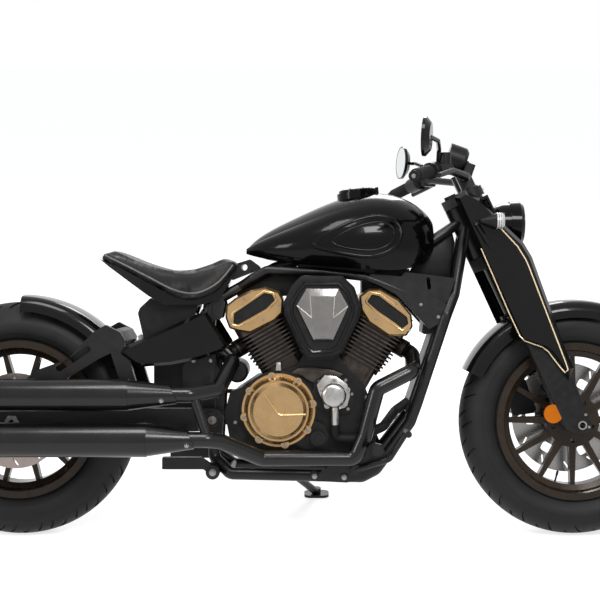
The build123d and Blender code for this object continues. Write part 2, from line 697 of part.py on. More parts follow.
ARM_IN = 112
ARM_OUT = 136
PIVOT = (-236, 330)
HEAD_LOW_S = LOWER_YOKE_S + LOWER_YOKE_T / 2 + 1.5
HEAD_TOP_S = UPPER_YOKE_S - UPPER_YOKE_T / 2 - 1.5
STAND_AT = (-40, 132, 160)
STAND_FOOT = (50, 300)
STAND_PIN_R = 8
STAND_EYE_R = 18
GROUND_DROP = CROWN_R * (1 - cos(radians(LEAN)))


def ground_height(y):
    """Where the ground lies at that y, once the bike leans on its stand."""
    return (y * sin(radians(LEAN)) - GROUND_DROP) / cos(radians(LEAN))


STAND_DOWN = Vector(STAND_FOOT[0], STAND_FOOT[1], ground_height(STAND_FOOT[1])) - Vector(*STAND_AT)
STAND_UP = Vector(-222, 44, 11)
STAND_AXIS = STAND_DOWN.cross(STAND_UP).normalized()


def along_stand(distance):
    """A point on the stand's hinge pin."""
    return tuple(Vector(*STAND_AT) + STAND_AXIS * distance)


with BuildPart() as frame:
    with BuildSketch(fork_plane(HEAD_LOW_S, STEER_T)):
        Circle(HEAD_TUBE_R)
    extrude(amount=HEAD_TOP_S - HEAD_LOW_S)
    head_low = fork_point(HEAD_LOW_S + 90, STEER_T)
    head_high = fork_point(HEAD_TOP_S - 42, STEER_T)
    pipe(
        [(head_low[0], -16, head_low[2]), (424, -58, 668), (400, -80, 612), (318, -80, 365), (300, -84, 318),
         (206, -CRADLE_Y, 192), (168, -CRADLE_Y, 172), (-190, -CRADLE_Y, 180), (PIVOT[0], -UPRIGHT_Y, 220),
         (PIVOT[0], -UPRIGHT_Y, 480), (-258, -UPRIGHT_Y, 560), (-250, -UPRIGHT_Y, 640)],
        CRADLE_R, 22,
    )
    pipe(
        [(head_high[0], -14, head_high[2]), (330, -BACKBONE_Y, 790), (40, -BACKBONE_Y, 774), (-70, -BACKBONE_Y, 742),
         (-250, -UPRIGHT_Y, 640), (-258, -UPRIGHT_Y, 590)],
        BACKBONE_HALF, 20,
    )
    # Upper rails under the tank, which widen into a plate that meets the down tube
    pipe(
        [(-168, -49, 687), (-126, -76, 716), (-90, -78, 735), (60, -78, 729), (176, -78, 716), (300, -76, 668)],
        UPPER_RAIL_R, 24,
    )
    slab([(184, 724), (286, 716), (400, 640), (380, 588), (352, 572), (304, 626), (262, 668), (196, 704)],
         -GUSSET_OUT, -GUSSET_IN, corner=6)
    slab([(272, 712), (288, 729), (426, 712), (402, 640), (384, 634)], -GUSSET_IN - 12, -GUSSET_IN, corner=5)
    with BuildSketch(lateral(-GUSSET_IN + 2)):
        with Locations(Location((353, 698, 0), -83)):
            SlotOverall(36, 11)
    extrude(amount=20, mode=Mode.SUBTRACT)
    # Plates round the swingarm pivot, a seat bracket and the lower rear lug
    slab([(-322, 470), (-300, 500), (-246, 512), (-222, 462), (-206, 400), (-214, 262), (-262, 246), (-278, 330),
          (-322, 420)],
         -UPRIGHT_Y - 14, -UPRIGHT_Y - 2, corner=8)
    slab([(-262, 652), (-232, 660), (-212, 668), (-206, 640), (-216, 600), (-266, 590)],
         -UPRIGHT_Y - 12, -UPRIGHT_Y, corner=5)
    rod((-236, -CRADLE_Y - 28, 187), (-236, -UPRIGHT_Y, 187), 19)
    slab([(-373, 195), (-373, 227), (-268, 227), (-236, 205), (-236, 176), (-262, 195)],
         -CRADLE_Y - 24, -CRADLE_Y, corner=3)
    rod((PIVOT[0], -UPRIGHT_Y, PIVOT[1]), (PIVOT[0], -CHAIN_Y + CHAIN_HALF + 4, PIVOT[1]), 27)
    rod((PIVOT[0], -UPRIGHT_Y, PIVOT[1]), (PIVOT[0], -ARM_IN + 0.8, PIVOT[1]), 18)
    both_sides()
    for x, z, half in ((192, 184, CRADLE_Y), (-190, 180, CRADLE_Y), (PIVOT[0], 430, UPRIGHT_Y), (-252, 628, UPRIGHT_Y)):
        rod((x, -half, z), (x, half, z), 12)
    with BuildSketch(fork_plane(HEAD_LOW_S - 1, STEER_T)):
        Circle(STEM_R + RUNNING)
    extrude(amount=HEAD_TOP_S - HEAD_LOW_S + 2, mode=Mode.SUBTRACT)
    rod((PIVOT[0], -ARM_OUT - 4, PIVOT[1]), (PIVOT[0], ARM_OUT + 4, PIVOT[1]), 11)
    rod((STAND_AT[0] + 4, CRADLE_Y, 180), along_stand(28), 12)
    rod(along_stand(11.8), along_stand(34), STAND_EYE_R - 2)
    rod(along_stand(-12), along_stand(11.8), STAND_EYE_R + 3, mode=Mode.SUBTRACT)
    rod(along_stand(-12), along_stand(13), STAND_PIN_R)
    rod(along_stand(-16), along_stand(-11.8), 13)
keep(frame, "frame")

with BuildPart() as side_stand:
    rod(along_stand(-11.5), along_stand(11.5), STAND_EYE_R)
    foot = (STAND_FOOT[0], STAND_FOOT[1], ground_height(STAND_FOOT[1]))
    up = Vector(0, -sin(radians(LEAN)), cos(radians(LEAN)))
    rod(STAND_AT, tuple(Vector(*foot) + up * 10), 11)
    with BuildSketch(Plane(origin=foot, x_dir=(1, 0, 0), z_dir=up)):
        RectangleRounded(74, 52, 18)
    extrude(amount=8)
    rod(tuple(Vector(*foot) + up * 5), tuple(Vector(*foot) + up * 24), 13)
    rod(along_stand(-20), along_stand(20), STAND_PIN_R + RUNNING, mode=Mode.SUBTRACT)
keep(side_stand, "side_stand")

with BuildPart() as rear_axle:
    rod((REAR_AXLE_X, -ARM_OUT - 6, REAR_TYRE_R), (REAR_AXLE_X, ARM_OUT + 6, REAR_TYRE_R), AXLE_R)
    for y in (-ARM_OUT - 6, ARM_OUT):
        with BuildSketch(wheel_plane(REAR_AXLE_X, REAR_TYRE_R, y + 6)):
            RegularPolygon(21, 6)
        extrude(amount=6)
    rod((REAR_AXLE_X, -200, REAR_TYRE_R), (REAR_AXLE_X, 200, REAR_TYRE_R), AXLE_BORE_R, mode=Mode.SUBTRACT)
keep(rear_axle, "rear_axle")

# Swingarm: two triangulated arms outside the wheel, then the crosstube and the bridge between them
with BuildPart() as swingarm:
    slab([(-812, 300), (-740, 288), (PIVOT[0], 300), (PIVOT[0] + 28, PIVOT[1]), (PIVOT[0], 360), (-640, 362),
          (-812, 352)], -ARM_OUT, -ARM_IN, corner=8)
    slab([(-812, 330), (-808, 368), (-717, 462), (-625, 494), (-558, 566), (-524, 586), (-485, 566), (-470, 540),
          (-504, 513), (-543, 494), (-625, 443), (-690, 380), (-700, 330)], -ARM_OUT, -ARM_IN, corner=7)
    slab([(-520, 540), (-478, 548), (-420, 362), (-400, 330), (-452, 330)], -ARM_OUT, -ARM_IN, corner=7)
    with BuildSketch(lateral(-ARM_IN + 1)):
        with Locations(Location((-611, 494, 0), 33.4)):
            SlotOverall(108, 17)
    extrude(amount=40, mode=Mode.SUBTRACT)
    rod((PIVOT[0], -ARM_OUT, PIVOT[1]), (PIVOT[0], -ARM_IN + 0.5, PIVOT[1]), 30)
    both_sides()
    rod((PIVOT[0], -200, PIVOT[1]), (PIVOT[0], 200, PIVOT[1]), 11, mode=Mode.SUBTRACT)
    rod((REAR_AXLE_X, -200, REAR_TYRE_R), (REAR_AXLE_X, 200, REAR_TYRE_R), AXLE_R, mode=Mode.SUBTRACT)
keep(swingarm, "swingarm")

with BuildPart() as swingarm_cross:
    slab([(-514, 578), (-485, 566), (-470, 540), (-483, 524)], -ARM_IN + SEAT_GAP, ARM_IN - SEAT_GAP, corner=5)
    rod((-418, -ARM_IN + SEAT_GAP, 340), (-418, ARM_IN - SEAT_GAP, 340), 19)
keep(swingarm_cross, "swingarm_cross")

REAR_FENDER_HALF = 88
rear_fender = make_fender(
    "rear_fender", REAR_AXLE_X, REAR_TYRE_R, FENDER_GAP, REAR_FENDER_HALF, 42, 88, 50,
    pads=[(-548, 548, 10, ARM_IN - SEAT_GAP)],
)

# Rear shock under the seat: damper body with a spring, both eyes on crosswise pins
with BuildPart() as rear_shock:
    shock_low, shock_high = (-470, 0, 505), (-262, 0, 612)
    way = (Vector(*shock_high) - Vector(*shock_low)).normalized()
    span = (Vector(*shock_high) - Vector(*shock_low)).length
    rod(shock_low, shock_high, 9)
    rod(tuple(Vector(*shock_low) + way * 20), tuple(Vector(*shock_low) + way * 110), 24)
    for i in range(9):
        at = Vector(*shock_low) + way * (36 + 17 * i)
        with BuildSketch(Plane(origin=at, z_dir=way)):
            Circle(34)
            Circle(22, mode=Mode.SUBTRACT)
        extrude(amount=10)
    rod(tuple(Vector(*shock_low) + way * 30), tuple(Vector(*shock_high) - way * 26), 25)
    for end in (shock_low, shock_high):
        rod((end[0], -18, end[2]), (end[0], 18, end[2]), 17)
    rod((shock_high[0], -60, shock_high[2]), (shock_high[0], 60, shock_high[2]), 7)
    rod((shock_low[0], -ARM_IN + 4, shock_low[2]), (shock_low[0], ARM_IN - 4, shock_low[2]), 7)
    add(swingarm.part, mode=Mode.SUBTRACT)
    add(swingarm_cross.part, mode=Mode.SUBTRACT)
    add(frame.part, mode=Mode.SUBTRACT)
keep(rear_shock, "rear_shock")

# Engine

CLUTCH = (-58, 356)
OIL_CAP = (48, 282)
with BuildPart() as crankcase:
    slab([(-85, 200), (170, 196), (205, 240), (208, 330), (176, 420), (120, 476), (100, 512), (57, 492), (14, 512),
          (-6, 476), (-85, 450)], -CASE_HALF, CASE_HALF, corner=14)
    slab([(-192, 330), (-170, 250), (-120, 202), (-70, 200), (-70, 452), (-120, 440), (-180, 400)], -82, 82, corner=14)
    slab([(-40, 452), (-70, 440), (-190, 404), (-205, 345), (-190, 270), (-60, 240)], -CASE_HALF, -60, corner=14)
    rod((OUTPUT_X, 60, OUTPUT_Z), (OUTPUT_X, CHAIN_Y + CHAIN_HALF, OUTPUT_Z), OUTPUT_R - SEAT_GAP)
    rod((CRANK_X + 120, -70, 230), (CRANK_X + 120, 70, 230), 26)
    slab([(66, 316), (78, 286), (66, 252), (10, 250), (-20, 268), (-20, 300), (30, 330)], -128, -CASE_HALF, corner=10)
    rod((OIL_CAP[0], -CASE_HALF, OIL_CAP[1]), (OIL_CAP[0], -152, OIL_CAP[1]), 20)
    rod((OIL_CAP[0], -150, OIL_CAP[1]), (OIL_CAP[0], -153, OIL_CAP[1]), 12, mode=Mode.SUBTRACT)
    rod((CLUTCH[0], -CASE_HALF, CLUTCH[1]), (CLUTCH[0], -118, CLUTCH[1]), 106)
    slab([(40, 440), (128, 446), (150, 400), (140, 350), (96, 340), (30, 372)], -118, -CASE_HALF, corner=12)
keep(crankcase, "crankcase")


PORT_ACROSS = 98
PORT_ALONG = 302
PUMP = (93, 399)


def port(tilt, across, y):
    """A point on an exhaust port's line: at the back of the rear head and the front of the front one."""
    x, z = bank_outline([(across if tilt < 0 else -across, PORT_ALONG)], tilt)[0]
    return (x, y, z)


with BuildPart() as cylinders:
    # Finned barrels with their heads, standing on the crankcase
    for tilt in (BANK_ANGLE, -BANK_ANGLE):
        with BuildSketch(bank_plane(150, tilt)):
            RectangleRounded(2 * (FIN_HALF_W - 8 - BARREL_GAP), 2 * (FIN_HALF_Y - 8 - BARREL_GAP), 22)
        extrude(amount=FIN_START + FIN_COUNT * FIN_PITCH - 150)
        for i in range(FIN_COUNT):
            grow = min(i, 4) * 2
            with BuildSketch(bank_plane(FIN_START + i * FIN_PITCH, tilt)):
                RectangleRounded(2 * (FIN_HALF_W - 8 + grow), 2 * (FIN_HALF_Y - 8 + grow), 26)
            extrude(amount=FIN_T)
        with BuildSketch(bank_plane(FIN_START + FIN_COUNT * FIN_PITCH - 2, tilt)):
            RectangleRounded(2 * FIN_HALF_W - 4, 2 * FIN_HALF_Y - 6, 20)
        extrude(amount=62)
        rod(port(tilt, 40, 0), port(tilt, PORT_ACROSS, -24), PIPE_R + 4)
    add(crankcase.part, mode=Mode.SUBTRACT)
keep(cylinders, "cylinders")

ROCKER_REAR = [(-204, 604), (-202, 638), (-177, 658), (-135, 679), (-93, 688), (-56, 675), (-45, 654), (-47, 617),
               (-68, 596), (-135, 562), (-168, 567), (-193, 575)]
ROCKER_FRONT = [(161, 663), (187, 683), (220, 683), (270, 654), (305, 612), (308, 579), (291, 554), (241, 554),
                (187, 591), (166, 625)]


INSERT_REAR = [(-182, 588), (-180, 616), (-98, 672), (-76, 668), (-68, 652), (-92, 628), (-136, 603), (-168, 586)]
INSERT_FRONT = [(182, 648), (196, 668), (216, 664), (292, 606), (296, 588), (278, 574), (262, 588), (212, 622)]
with BuildPart() as rocker_covers:
    for points in (ROCKER_REAR, ROCKER_FRONT):
        with BuildSketch(lateral(-COVER_HALF_Y + 7)):
            outline(points, 6)
        extrude(amount=7, taper=38)
        slab(points, -COVER_HALF_Y + 7, COVER_HALF_Y - 7, corner=6)
        with BuildSketch(lateral(COVER_HALF_Y - 7)):
            outline(points, 6)
        extrude(amount=-7, taper=38)
    for points in (INSERT_REAR, INSERT_FRONT):
        slab(points, -COVER_HALF_Y - 1, -COVER_HALF_Y + INSERT_DEPTH, corner=5, mode=Mode.SUBTRACT)
        slab(points, COVER_HALF_Y - INSERT_DEPTH, COVER_HALF_Y + 1, corner=5, mode=Mode.SUBTRACT)
    add(cylinders.part, mode=Mode.SUBTRACT)
keep(rocker_covers, "rocker_covers")

# Dark inserts sunk in the rocker covers, each with a raised bar
with BuildPart() as rocker_inserts:
    for points in (INSERT_REAR, INSERT_FRONT):
        with BuildSketch(lateral(-COVER_HALF_Y + INSERT_DEPTH - SEAT_GAP)) as pocket:
            outline(points, 5)
        with BuildSketch(lateral(-COVER_HALF_Y + INSERT_DEPTH - SEAT_GAP)) as filled:
            offset(pocket.sketch, amount=-SEAT_GAP)
        extrude(filled.sketch, amount=INSERT_DEPTH - 5)
    both_sides()
    add(cylinders.part, mode=Mode.SUBTRACT)
keep(rocker_inserts, "rocker_inserts")

AIR_OUTLINE = [(3, 718), (113, 718), (145, 688), (163, 635), (157, 607), (113, 513), (92, 498), (27, 493), (3, 518),
               (-42, 615), (-44, 648), (-22, 692)]
PLATE_OUTLINE = [(19, 682), (100, 682), (126, 636), (86, 550), (37, 550), (-7, 638)]
with BuildPart() as air_cleaner:
    slab(AIR_OUTLINE, -190, -118, corner=10)
    chamfer(faces().sort_by(Axis.Y)[0].edges(), 9)
    rod((58, -125, 632), (58, 26, 632), 30)
    rod((58, 0, 632), (-41, 0, 612), 20)
    rod((58, 0, 632), (157, 0, 612), 20)
    add(cylinders.part, mode=Mode.SUBTRACT)
    add(rocker_covers.part, mode=Mode.SUBTRACT)
keep(air_cleaner, "air_cleaner")

with BuildPart() as air_cleaner_plate:
    with BuildSketch(lateral(-190)):
        outline(PLATE_OUTLINE)
    extrude(amount=11, taper=40)
keep(air_cleaner_plate, "air_cleaner_plate")

with BuildPart() as clutch_cover:
    rod((CLUTCH[0], -118 - SEAT_GAP, CLUTCH[1]), (CLUTCH[0], -132, CLUTCH[1]), 99)
    with BuildSketch(wheel_plane(CLUTCH[0], CLUTCH[1], -132)):
        Circle(93)
    extrude(amount=26, taper=24)
    with BuildSketch(wheel_plane(CLUTCH[0], CLUTCH[1], -158)):
        Circle(76)
    extrude(amount=10, taper=42)
    with BuildSketch(wheel_plane(CLUTCH[0], CLUTCH[1], -132)):
        with PolarLocations(93, 8, start_angle=11):
            Circle(11)
    extrude(amount=10)
    add(crankcase.part, mode=Mode.SUBTRACT)
keep(clutch_cover, "clutch_cover")

with BuildPart() as generator_cover:
    rod((CRANK_X, CASE_HALF, CRANK_Z), (CRANK_X, 148, CRANK_Z), 88)
    fillet(faces().sort_by(Axis.Y)[-1].edges(), 10)
    with BuildSketch(lateral(140)):
        with Locations((OUTPUT_X, OUTPUT_Z)):
            Circle(50)
        with Locations((-60, 330)):
            Circle(64)
        make_hull()
    extrude(amount=28)
    slab([(-80, 300), (-80, 392), (-20, 392), (-20, 268), (-60, 268)], CASE_HALF, 130, corner=10)
keep(generator_cover, "generator_cover")

with BuildPart() as water_pump:
    rod((PUMP[0], -118 - SEAT_GAP, PUMP[1]), (PUMP[0], -132, PUMP[1]), 36)
    with BuildSketch(wheel_plane(PUMP[0], PUMP[1], -132)):
        Circle(30)
    extrude(amount=18, taper=18)
    rod((62, -118 - SEAT_GAP, 420), (62, -128, 420), 16)
    pipe([(PUMP[0], -134, 388), (PUMP[0] + 2, -138, 352), (PUMP[0] + 2, -132, 318)], 11, 14)
    with BuildSketch(wheel_plane(PUMP[0], PUMP[1], -132)):
        with PolarLocations(36, 5, start_angle=20):
            Circle(8)
    extrude(amount=13, both=True)
    add(clutch_cover.part, mode=Mode.SUBTRACT)
    add(crankcase.part, mode=Mode.SUBTRACT)
keep(water_pump, "water_pump")

# Radiator between the down tubes
RAD_HALF = 62
with BuildPart() as radiator:
    slab([(421, 622), (321, 335), (288, 343), (387, 634)], -RAD_HALF, RAD_HALF, corner=5)
    slab([(390, 632), (366, 560), (336, 556), (342, 612), (352, 640)], -RAD_HALF + 10, RAD_HALF - 10, corner=8)
    slab([(420, 617), (428, 626), (375, 640), (367, 620)], -RAD_HALF + 6, RAD_HALF - 6, corner=4)
    rod((350, -70, 500), (350, 70, 500), 8)
    rod((384, -76, 598), (384, 76, 598), 8)
    add(frame.part, mode=Mode.SUBTRACT)
keep(radiator, "radiator")

with BuildPart() as radiator_hose:
    pipe([(PUMP[0] + 2, -131.95, 317.7), (PUMP[0] + 2, -125.39, 280.5), (150, -122, 276), (226, -114, 310),
          (262, -50, 346), (300, -40, 372)], 13, 16)
    add(radiator.part, mode=Mode.SUBTRACT)
    add(crankcase.part, mode=Mode.SUBTRACT)
    add(frame.part, mode=Mode.SUBTRACT)
keep(radiator_hose, "radiator_hose")

# Exhaust: hollow header pipes and two mufflers with slash-cut ends, all on the right
MUFFLER_END_X = -1000


# Each muffler: axis y and z, radius, x of its sleeve's mouth, x where its body starts
MUFFLERS = [
    (-240, 406, 42.5, -322, -446),
    (-255, 291, 45, -276, -397),
]
SEAM = 2.5
with BuildPart() as mufflers:
    for y, z, radius, cone_x, body_x in MUFFLERS:
        wall, cone_r = MUFFLER_WALL, PIPE_R + 3
        with BuildSketch(lateral(y)):
            Polygon(
                (cone_x, z + cone_r), (body_x, z + radius - 2), (body_x - SEAM, z + radius - 2),
                (body_x - SEAM, z + radius), (MUFFLER_END_X - 30, z + radius),
                (MUFFLER_END_X - 30, z + radius - wall), (MUFFLER_END_X + 40, z + radius - wall),
                (MUFFLER_END_X + 40, z + 18), (MUFFLER_END_X + 43, z + 18), (MUFFLER_END_X + 43, z + radius - wall),
                (body_x, z + radius - 2 - wall), (cone_x, z + cone_r - wall),
                align=None,
            )
        revolve(axis=Axis((0, y, z), (1, 0, 0)))
        slab([(cone_x + 10, z - 30), (cone_x - 26, z + 40), (cone_x + 10, z + 40)], y - 40, y + 40, mode=Mode.SUBTRACT)
        slab(
            [(MUFFLER_END_X - 40, z + 54), (MUFFLER_END_X - 40, z - 54), (MUFFLER_END_X + 12, z - 54),
             (MUFFLER_END_X - 20, z + 54)],
            y - 54, y + 54, mode=Mode.SUBTRACT,
        )
keep(mufflers, "mufflers")

REAR_ROUTE = [
    port(BANK_ANGLE, PORT_ACROSS, -24), port(BANK_ANGLE, PORT_ACROSS + 30, -39), (-182, -120, 486),
    (-216, -194, 416), (-286, -240, 406), (-352, -240, 406),
]
FRONT_ROUTE = [
    port(-BANK_ANGLE, PORT_ACROSS, -24), port(-BANK_ANGLE, PORT_ACROSS + 20, -36), (304, -150, 464),
    (206, -165, 416), (172, -165, 290), (146, -168, 231), (-102, -172, 231), (-206, -238, 284), (-240, -255, 291),
    (-302, -255, 291),
]
with BuildPart() as headers:
    for route in (REAR_ROUTE, FRONT_ROUTE):
        pipe(route, PIPE_R, 24)
    rod((-278, -236, 404), (-240, -253, 292), LINK_R)
    for route in (REAR_ROUTE, FRONT_ROUTE):
        pipe(route, PIPE_R - PIPE_WALL, 24, mode=Mode.SUBTRACT)
    add(cylinders.part, mode=Mode.SUBTRACT)
keep(headers, "headers")

# Fuel tank: lofted teardrop with a tunnel over the backbone
TANK_STATIONS = [
    # x, bottom, shoulder, top, half width, half width at the shoulder
    (-149, 779, 785, 791, 26, 14),
    (-100, 766, 800, 834, 74, 46),
    (-20, 753, 822, 876, 118, 78),
    (100, 742, 858, 928, 148, 100),
    (215, 734, 876, 949, 150, 100),
    (310, 742, 866, 924, 122, 80),
    (368, 790, 838, 870, 62, 40),
]
TANK_TUNNEL_TOP = 812
TANK_WALL = 4
CAP_AT = (158, 0, 951)
CAP_R = 50


def tank_form(stations, inset):
    """The tank's body between its stations, drawn in by the inset all round."""
    sections = []
    for x, bottom, shoulder, top, half, high_half in stations:
        low, high, side = bottom + inset, (shoulder + top) / 2 + 2 - inset, half - inset
        with BuildSketch(Plane(origin=(x, 0, 0), x_dir=(0, 1, 0), z_dir=(1, 0, 0))) as section:
            with BuildLine():
                Line((-0.8 * side, low), (0.8 * side, low))
                ThreePointArc((0.8 * side, low), (side, (bottom + shoulder) / 2), (high_half - inset, high))
                ThreePointArc((high_half - inset, high), (0, top - inset), (inset - high_half, high))
                ThreePointArc((inset - high_half, high), (-side, (bottom + shoulder) / 2), (-0.8 * side, low))
            make_face()
        sections.append(section.sketch)
    loft(sections)


def tunnel(grow):
    """Cuts the slot under the tank that the backbone runs in, wider by grow all round."""
    top = TANK_TUNNEL_TOP + grow
    slab([(-96 - 2 * grow, 700), (-96 - 2 * grow, 776 + grow), (-40, top), (312, top), (400, top + 46), (400, 700)],
         -TANK_TUNNEL_HALF - grow, TANK_TUNNEL_HALF + grow, mode=Mode.SUBTRACT)


with BuildPart() as tank_space:
    tank_form(TANK_STATIONS[1:-1], TANK_WALL)
    tunnel(TANK_WALL)

with BuildPart() as fuel_tank:
    tank_form(TANK_STATIONS, 0)
    add(tank_space.part, mode=Mode.SUBTRACT)
    tunnel(0)
    cap_plane = Plane(origin=CAP_AT, x_dir=(1, 0, 0.1), z_dir=(-0.1, 0, 1))
    with BuildSketch(cap_plane.offset(-30)):
        Circle(CAP_R + 5)
    extrude(amount=30)
    with BuildSketch(cap_plane.offset(-16)):
        Circle(CAP_R - 14)
    extrude(amount=20, mode=Mode.SUBTRACT)
    with BuildSketch(cap_plane.offset(-60)):
        Circle(CAP_R - 22)
    extrude(amount=60, mode=Mode.SUBTRACT)
    for y in (-14, 14):
        with BuildSketch(Plane(origin=cap_plane.from_local_coords((0, y + 3, 0)), x_dir=cap_plane.x_dir, z_dir=(0, -1, 0))):
            Polygon((CAP_R - 8, -12), (CAP_R + 11, -12), (CAP_R + 11, 9), (CAP_R + 3, 9), align=None)
        extrude(amount=6)
    hinge_at = cap_plane.from_local_coords((CAP_R + 7, 0, 5))
    rod((hinge_at.X, -16, hinge_at.Z), (hinge_at.X, 16, hinge_at.Z), 2)
keep(fuel_tank, "fuel_tank")

with BuildPart() as fuel_cap:
    with BuildSketch(cap_plane.offset(0.5)):
        Circle(CAP_R - 1)
    extrude(amount=9)
    fillet(faces().sort_by(Axis(CAP_AT, cap_plane.z_dir))[-1].edges(), 4)
    with BuildSketch(Plane(origin=(hinge_at.X, 9, hinge_at.Z), x_dir=cap_plane.x_dir, z_dir=(0, -1, 0))):
        Circle(3.8)
        with Locations((-10, 0.5)):
            Rectangle(20, 4)
        Circle(2 + RUNNING, mode=Mode.SUBTRACT)
    extrude(amount=18)
keep(fuel_cap, "fuel_cap")

# Seat, its pan, the box under it and the side covers
PAD_TOP = [(-527, 762), (-549, 768), (-545, 782), (-535, 789), (-488, 771), (-445, 753), (-402, 738), (-360, 727),
           (-322, 725), (-285, 729), (-245, 743), (-191, 770), (-181, 763), (-171, 750), (-223, 685), (-265, 661),
           (-292, 655), (-334, 663), (-375, 683), (-430, 713), (-486, 742)]
SEAT_PLAN = [(-560, -70), (-520, -118), (-430, -146), (-340, -148), (-260, -116), (-160, -72)]
SEAT_PLAN_FULL = SEAT_PLAN + [(x, -y) for x, y in reversed(SEAT_PLAN)]
with BuildPart() as seat_pad:
    slab(PAD_TOP, -160, 160)
    with BuildSketch(Plane.XY.offset(600)):
        outline(SEAT_PLAN_FULL, 24)
    extrude(amount=260, mode=Mode.INTERSECT)
keep(seat_pad, "seat_pad")

PAN_OUTLINE = [(-549, 764), (-486, 739), (-430, 710), (-375, 680), (-334, 660), (-292, 652), (-265, 658),
               (-223, 682), (-171, 747), (-192, 700), (-222, 652), (-268, 640), (-367, 640), (-410, 664)]
with BuildPart() as seat_pan:
    slab(PAN_OUTLINE, -140, 140)
    with BuildSketch(Plane.XY.offset(600)):
        outline([(x, y * 0.86) for x, y in SEAT_PLAN_FULL], 20)
    extrude(amount=260, mode=Mode.INTERSECT)
    add(frame.part, mode=Mode.SUBTRACT)
keep(seat_pan, "seat_pan")

with BuildPart() as tail_box:
    slab([(-409, 658), (-438, 630), (-443, 616), (-424, 532), (-300, 586), (-278, 639), (-367, 639)], -88, 88, corner=4)
    slab([(-450, 606), (-440, 520), (-270, 560), (-270, 632), (-420, 632)], -52, 52, mode=Mode.SUBTRACT)
    add(frame.part, mode=Mode.SUBTRACT)
keep(tail_box, "tail_box")

# Battery box low between the rear uprights
with BuildPart() as battery_box:
    slab([(-404, 486), (-404, 412), (-384, 396), (-248.3, 396), (-248.3, 486)], -45, 45, corner=6)
    add(frame.part, mode=Mode.SUBTRACT)
keep(battery_box, "battery_box")

SIDE_COVER = [(-253, 625), (-194, 530), (-210, 514), (-270, 494), (-347, 479), (-426, 473), (-444, 480), (-486, 511),
              (-470, 530), (-417, 551), (-270, 618)]


with BuildPart() as side_covers:
    with BuildSketch(lateral(-138)):
        outline(SIDE_COVER, 7)
    extrude(amount=12, taper=35)
    for x, z in ((-252, 560), (-250, 602)):
        rod((x, -139, z), (x, -UPRIGHT_Y, z), 9)
    both_sides()
    add(frame.part, mode=Mode.SUBTRACT)
keep(side_covers, "side_covers")

with BuildPart() as frame_cover:
    slab([(-176, 752), (-138, 764), (-108, 742), (-140, 726), (-194, 704)], -60, 60, corner=4)
    rod((-154, -80, 742), (-154, 80, 742), 9, mode=Mode.SUBTRACT)
    add(frame.part, mode=Mode.SUBTRACT)
    add(fuel_tank.part, mode=Mode.SUBTRACT)
    add(seat_pad.part, mode=Mode.SUBTRACT)
    add(seat_pan.part, mode=Mode.SUBTRACT)
keep(frame_cover, "frame_cover")

# Foot controls: bracket, peg and pedal or shift lever
BRACKET = [(196, 268), (222, 262), (236, 228), (206, 190), (171, 172), (126, 160), (27, 165), (76, 204), (148, 222),
           (172, 252)]


# On each side a cast bracket on the lower rail with a peg, and a lever that reaches forward to a toe pad
with BuildPart() as foot_controls:
    slab(BRACKET, -130, -CRADLE_Y - 14, corner=5)
    rod((60, -128, 180), (60, -CRADLE_Y, 180), 9)
    rod((140, -128, 180), (140, -CRADLE_Y, 176), 9)
    rod((200, -118, 254), (200, -210, 260), 8)
    rod((200, -208, 260), (200, -300, 268), 15)
    pipe([(150, -142, 196), (240, -150, 226), (286, -158, 300)], 8, 20)
    rod((150, -130, 196), (150, -148, 196), 14)
    rod((286, -150, 300), (286, -215, 300), 9)
    both_sides()
    add(frame.part, mode=Mode.SUBTRACT)
keep(foot_controls, "foot_controls")

# Rear caliper over the disc, hung from the right arm
with BuildPart() as rear_caliper:
    slab([(-700, 402), (-640, 440), (-604, 388), (-668, 352)], -REAR_DISC_Y - DISC_T - 16, -REAR_DISC_Y + 14, corner=8)
    rod((-664, -REAR_DISC_Y - DISC_T - 8, 364), (-664, -ARM_IN + SEAT_GAP, 364), 11)
    rod((REAR_AXLE_X, -REAR_DISC_Y - DISC_T - 1.5, REAR_TYRE_R), (REAR_AXLE_X, -REAR_DISC_Y + 1.5, REAR_TYRE_R),
        REAR_DISC_R + 5, mode=Mode.SUBTRACT)
    add(swingarm.part, mode=Mode.SUBTRACT)
keep(rear_caliper, "rear_caliper")

# Tail: a bracket from the left end of the rear axle round behind the tyre, with the plate, lamp and indicators
TAIL_X = -1146
with BuildPart() as tail_bracket:
    pipe(
        [(REAR_AXLE_X - 30, ARM_OUT + 12, REAR_TYRE_R + 16), (-930, ARM_OUT + 14, 470), (-1060, ARM_OUT + 14, 560),
         (TAIL_X, ARM_OUT - 20, 572), (TAIL_X, -60, 572)],
        8, 30,
    )
    slab([(-830, 318), (-790, 306), (-742, 330), (-800, 372)], ARM_OUT + 6.3, ARM_OUT + 16, corner=7)
    rod((-800, ARM_OUT, 334), (-800, ARM_OUT + 8, 334), 6)
    rod((REAR_AXLE_X, ARM_OUT, REAR_TYRE_R), (REAR_AXLE_X, ARM_OUT + 40, REAR_TYRE_R), AXLE_BORE_R + 5,
        mode=Mode.SUBTRACT)
    slab([(TAIL_X - 6, 600), (TAIL_X + 6, 600), (TAIL_X + 6, 440), (TAIL_X - 6, 440)], -50, 50, corner=3)
    add(swingarm.part, mode=Mode.SUBTRACT)
    add(rear_axle.part, mode=Mode.SUBTRACT)
keep(tail_bracket, "tail_bracket")

with BuildPart() as number_plate:
    slab([(TAIL_X - 9.3, 556), (TAIL_X - 6.3, 556), (TAIL_X - 6.3, 346), (TAIL_X - 9.3, 346)], -100, 100)
keep(number_plate, "number_plate")

with BuildPart() as tail_lamp:
    slab([(TAIL_X - 38, 606), (TAIL_X - 6.3, 612), (TAIL_X - 6.3, 566), (TAIL_X - 34, 570)], -56, 56, corner=5)
keep(tail_lamp, "tail_lamp")

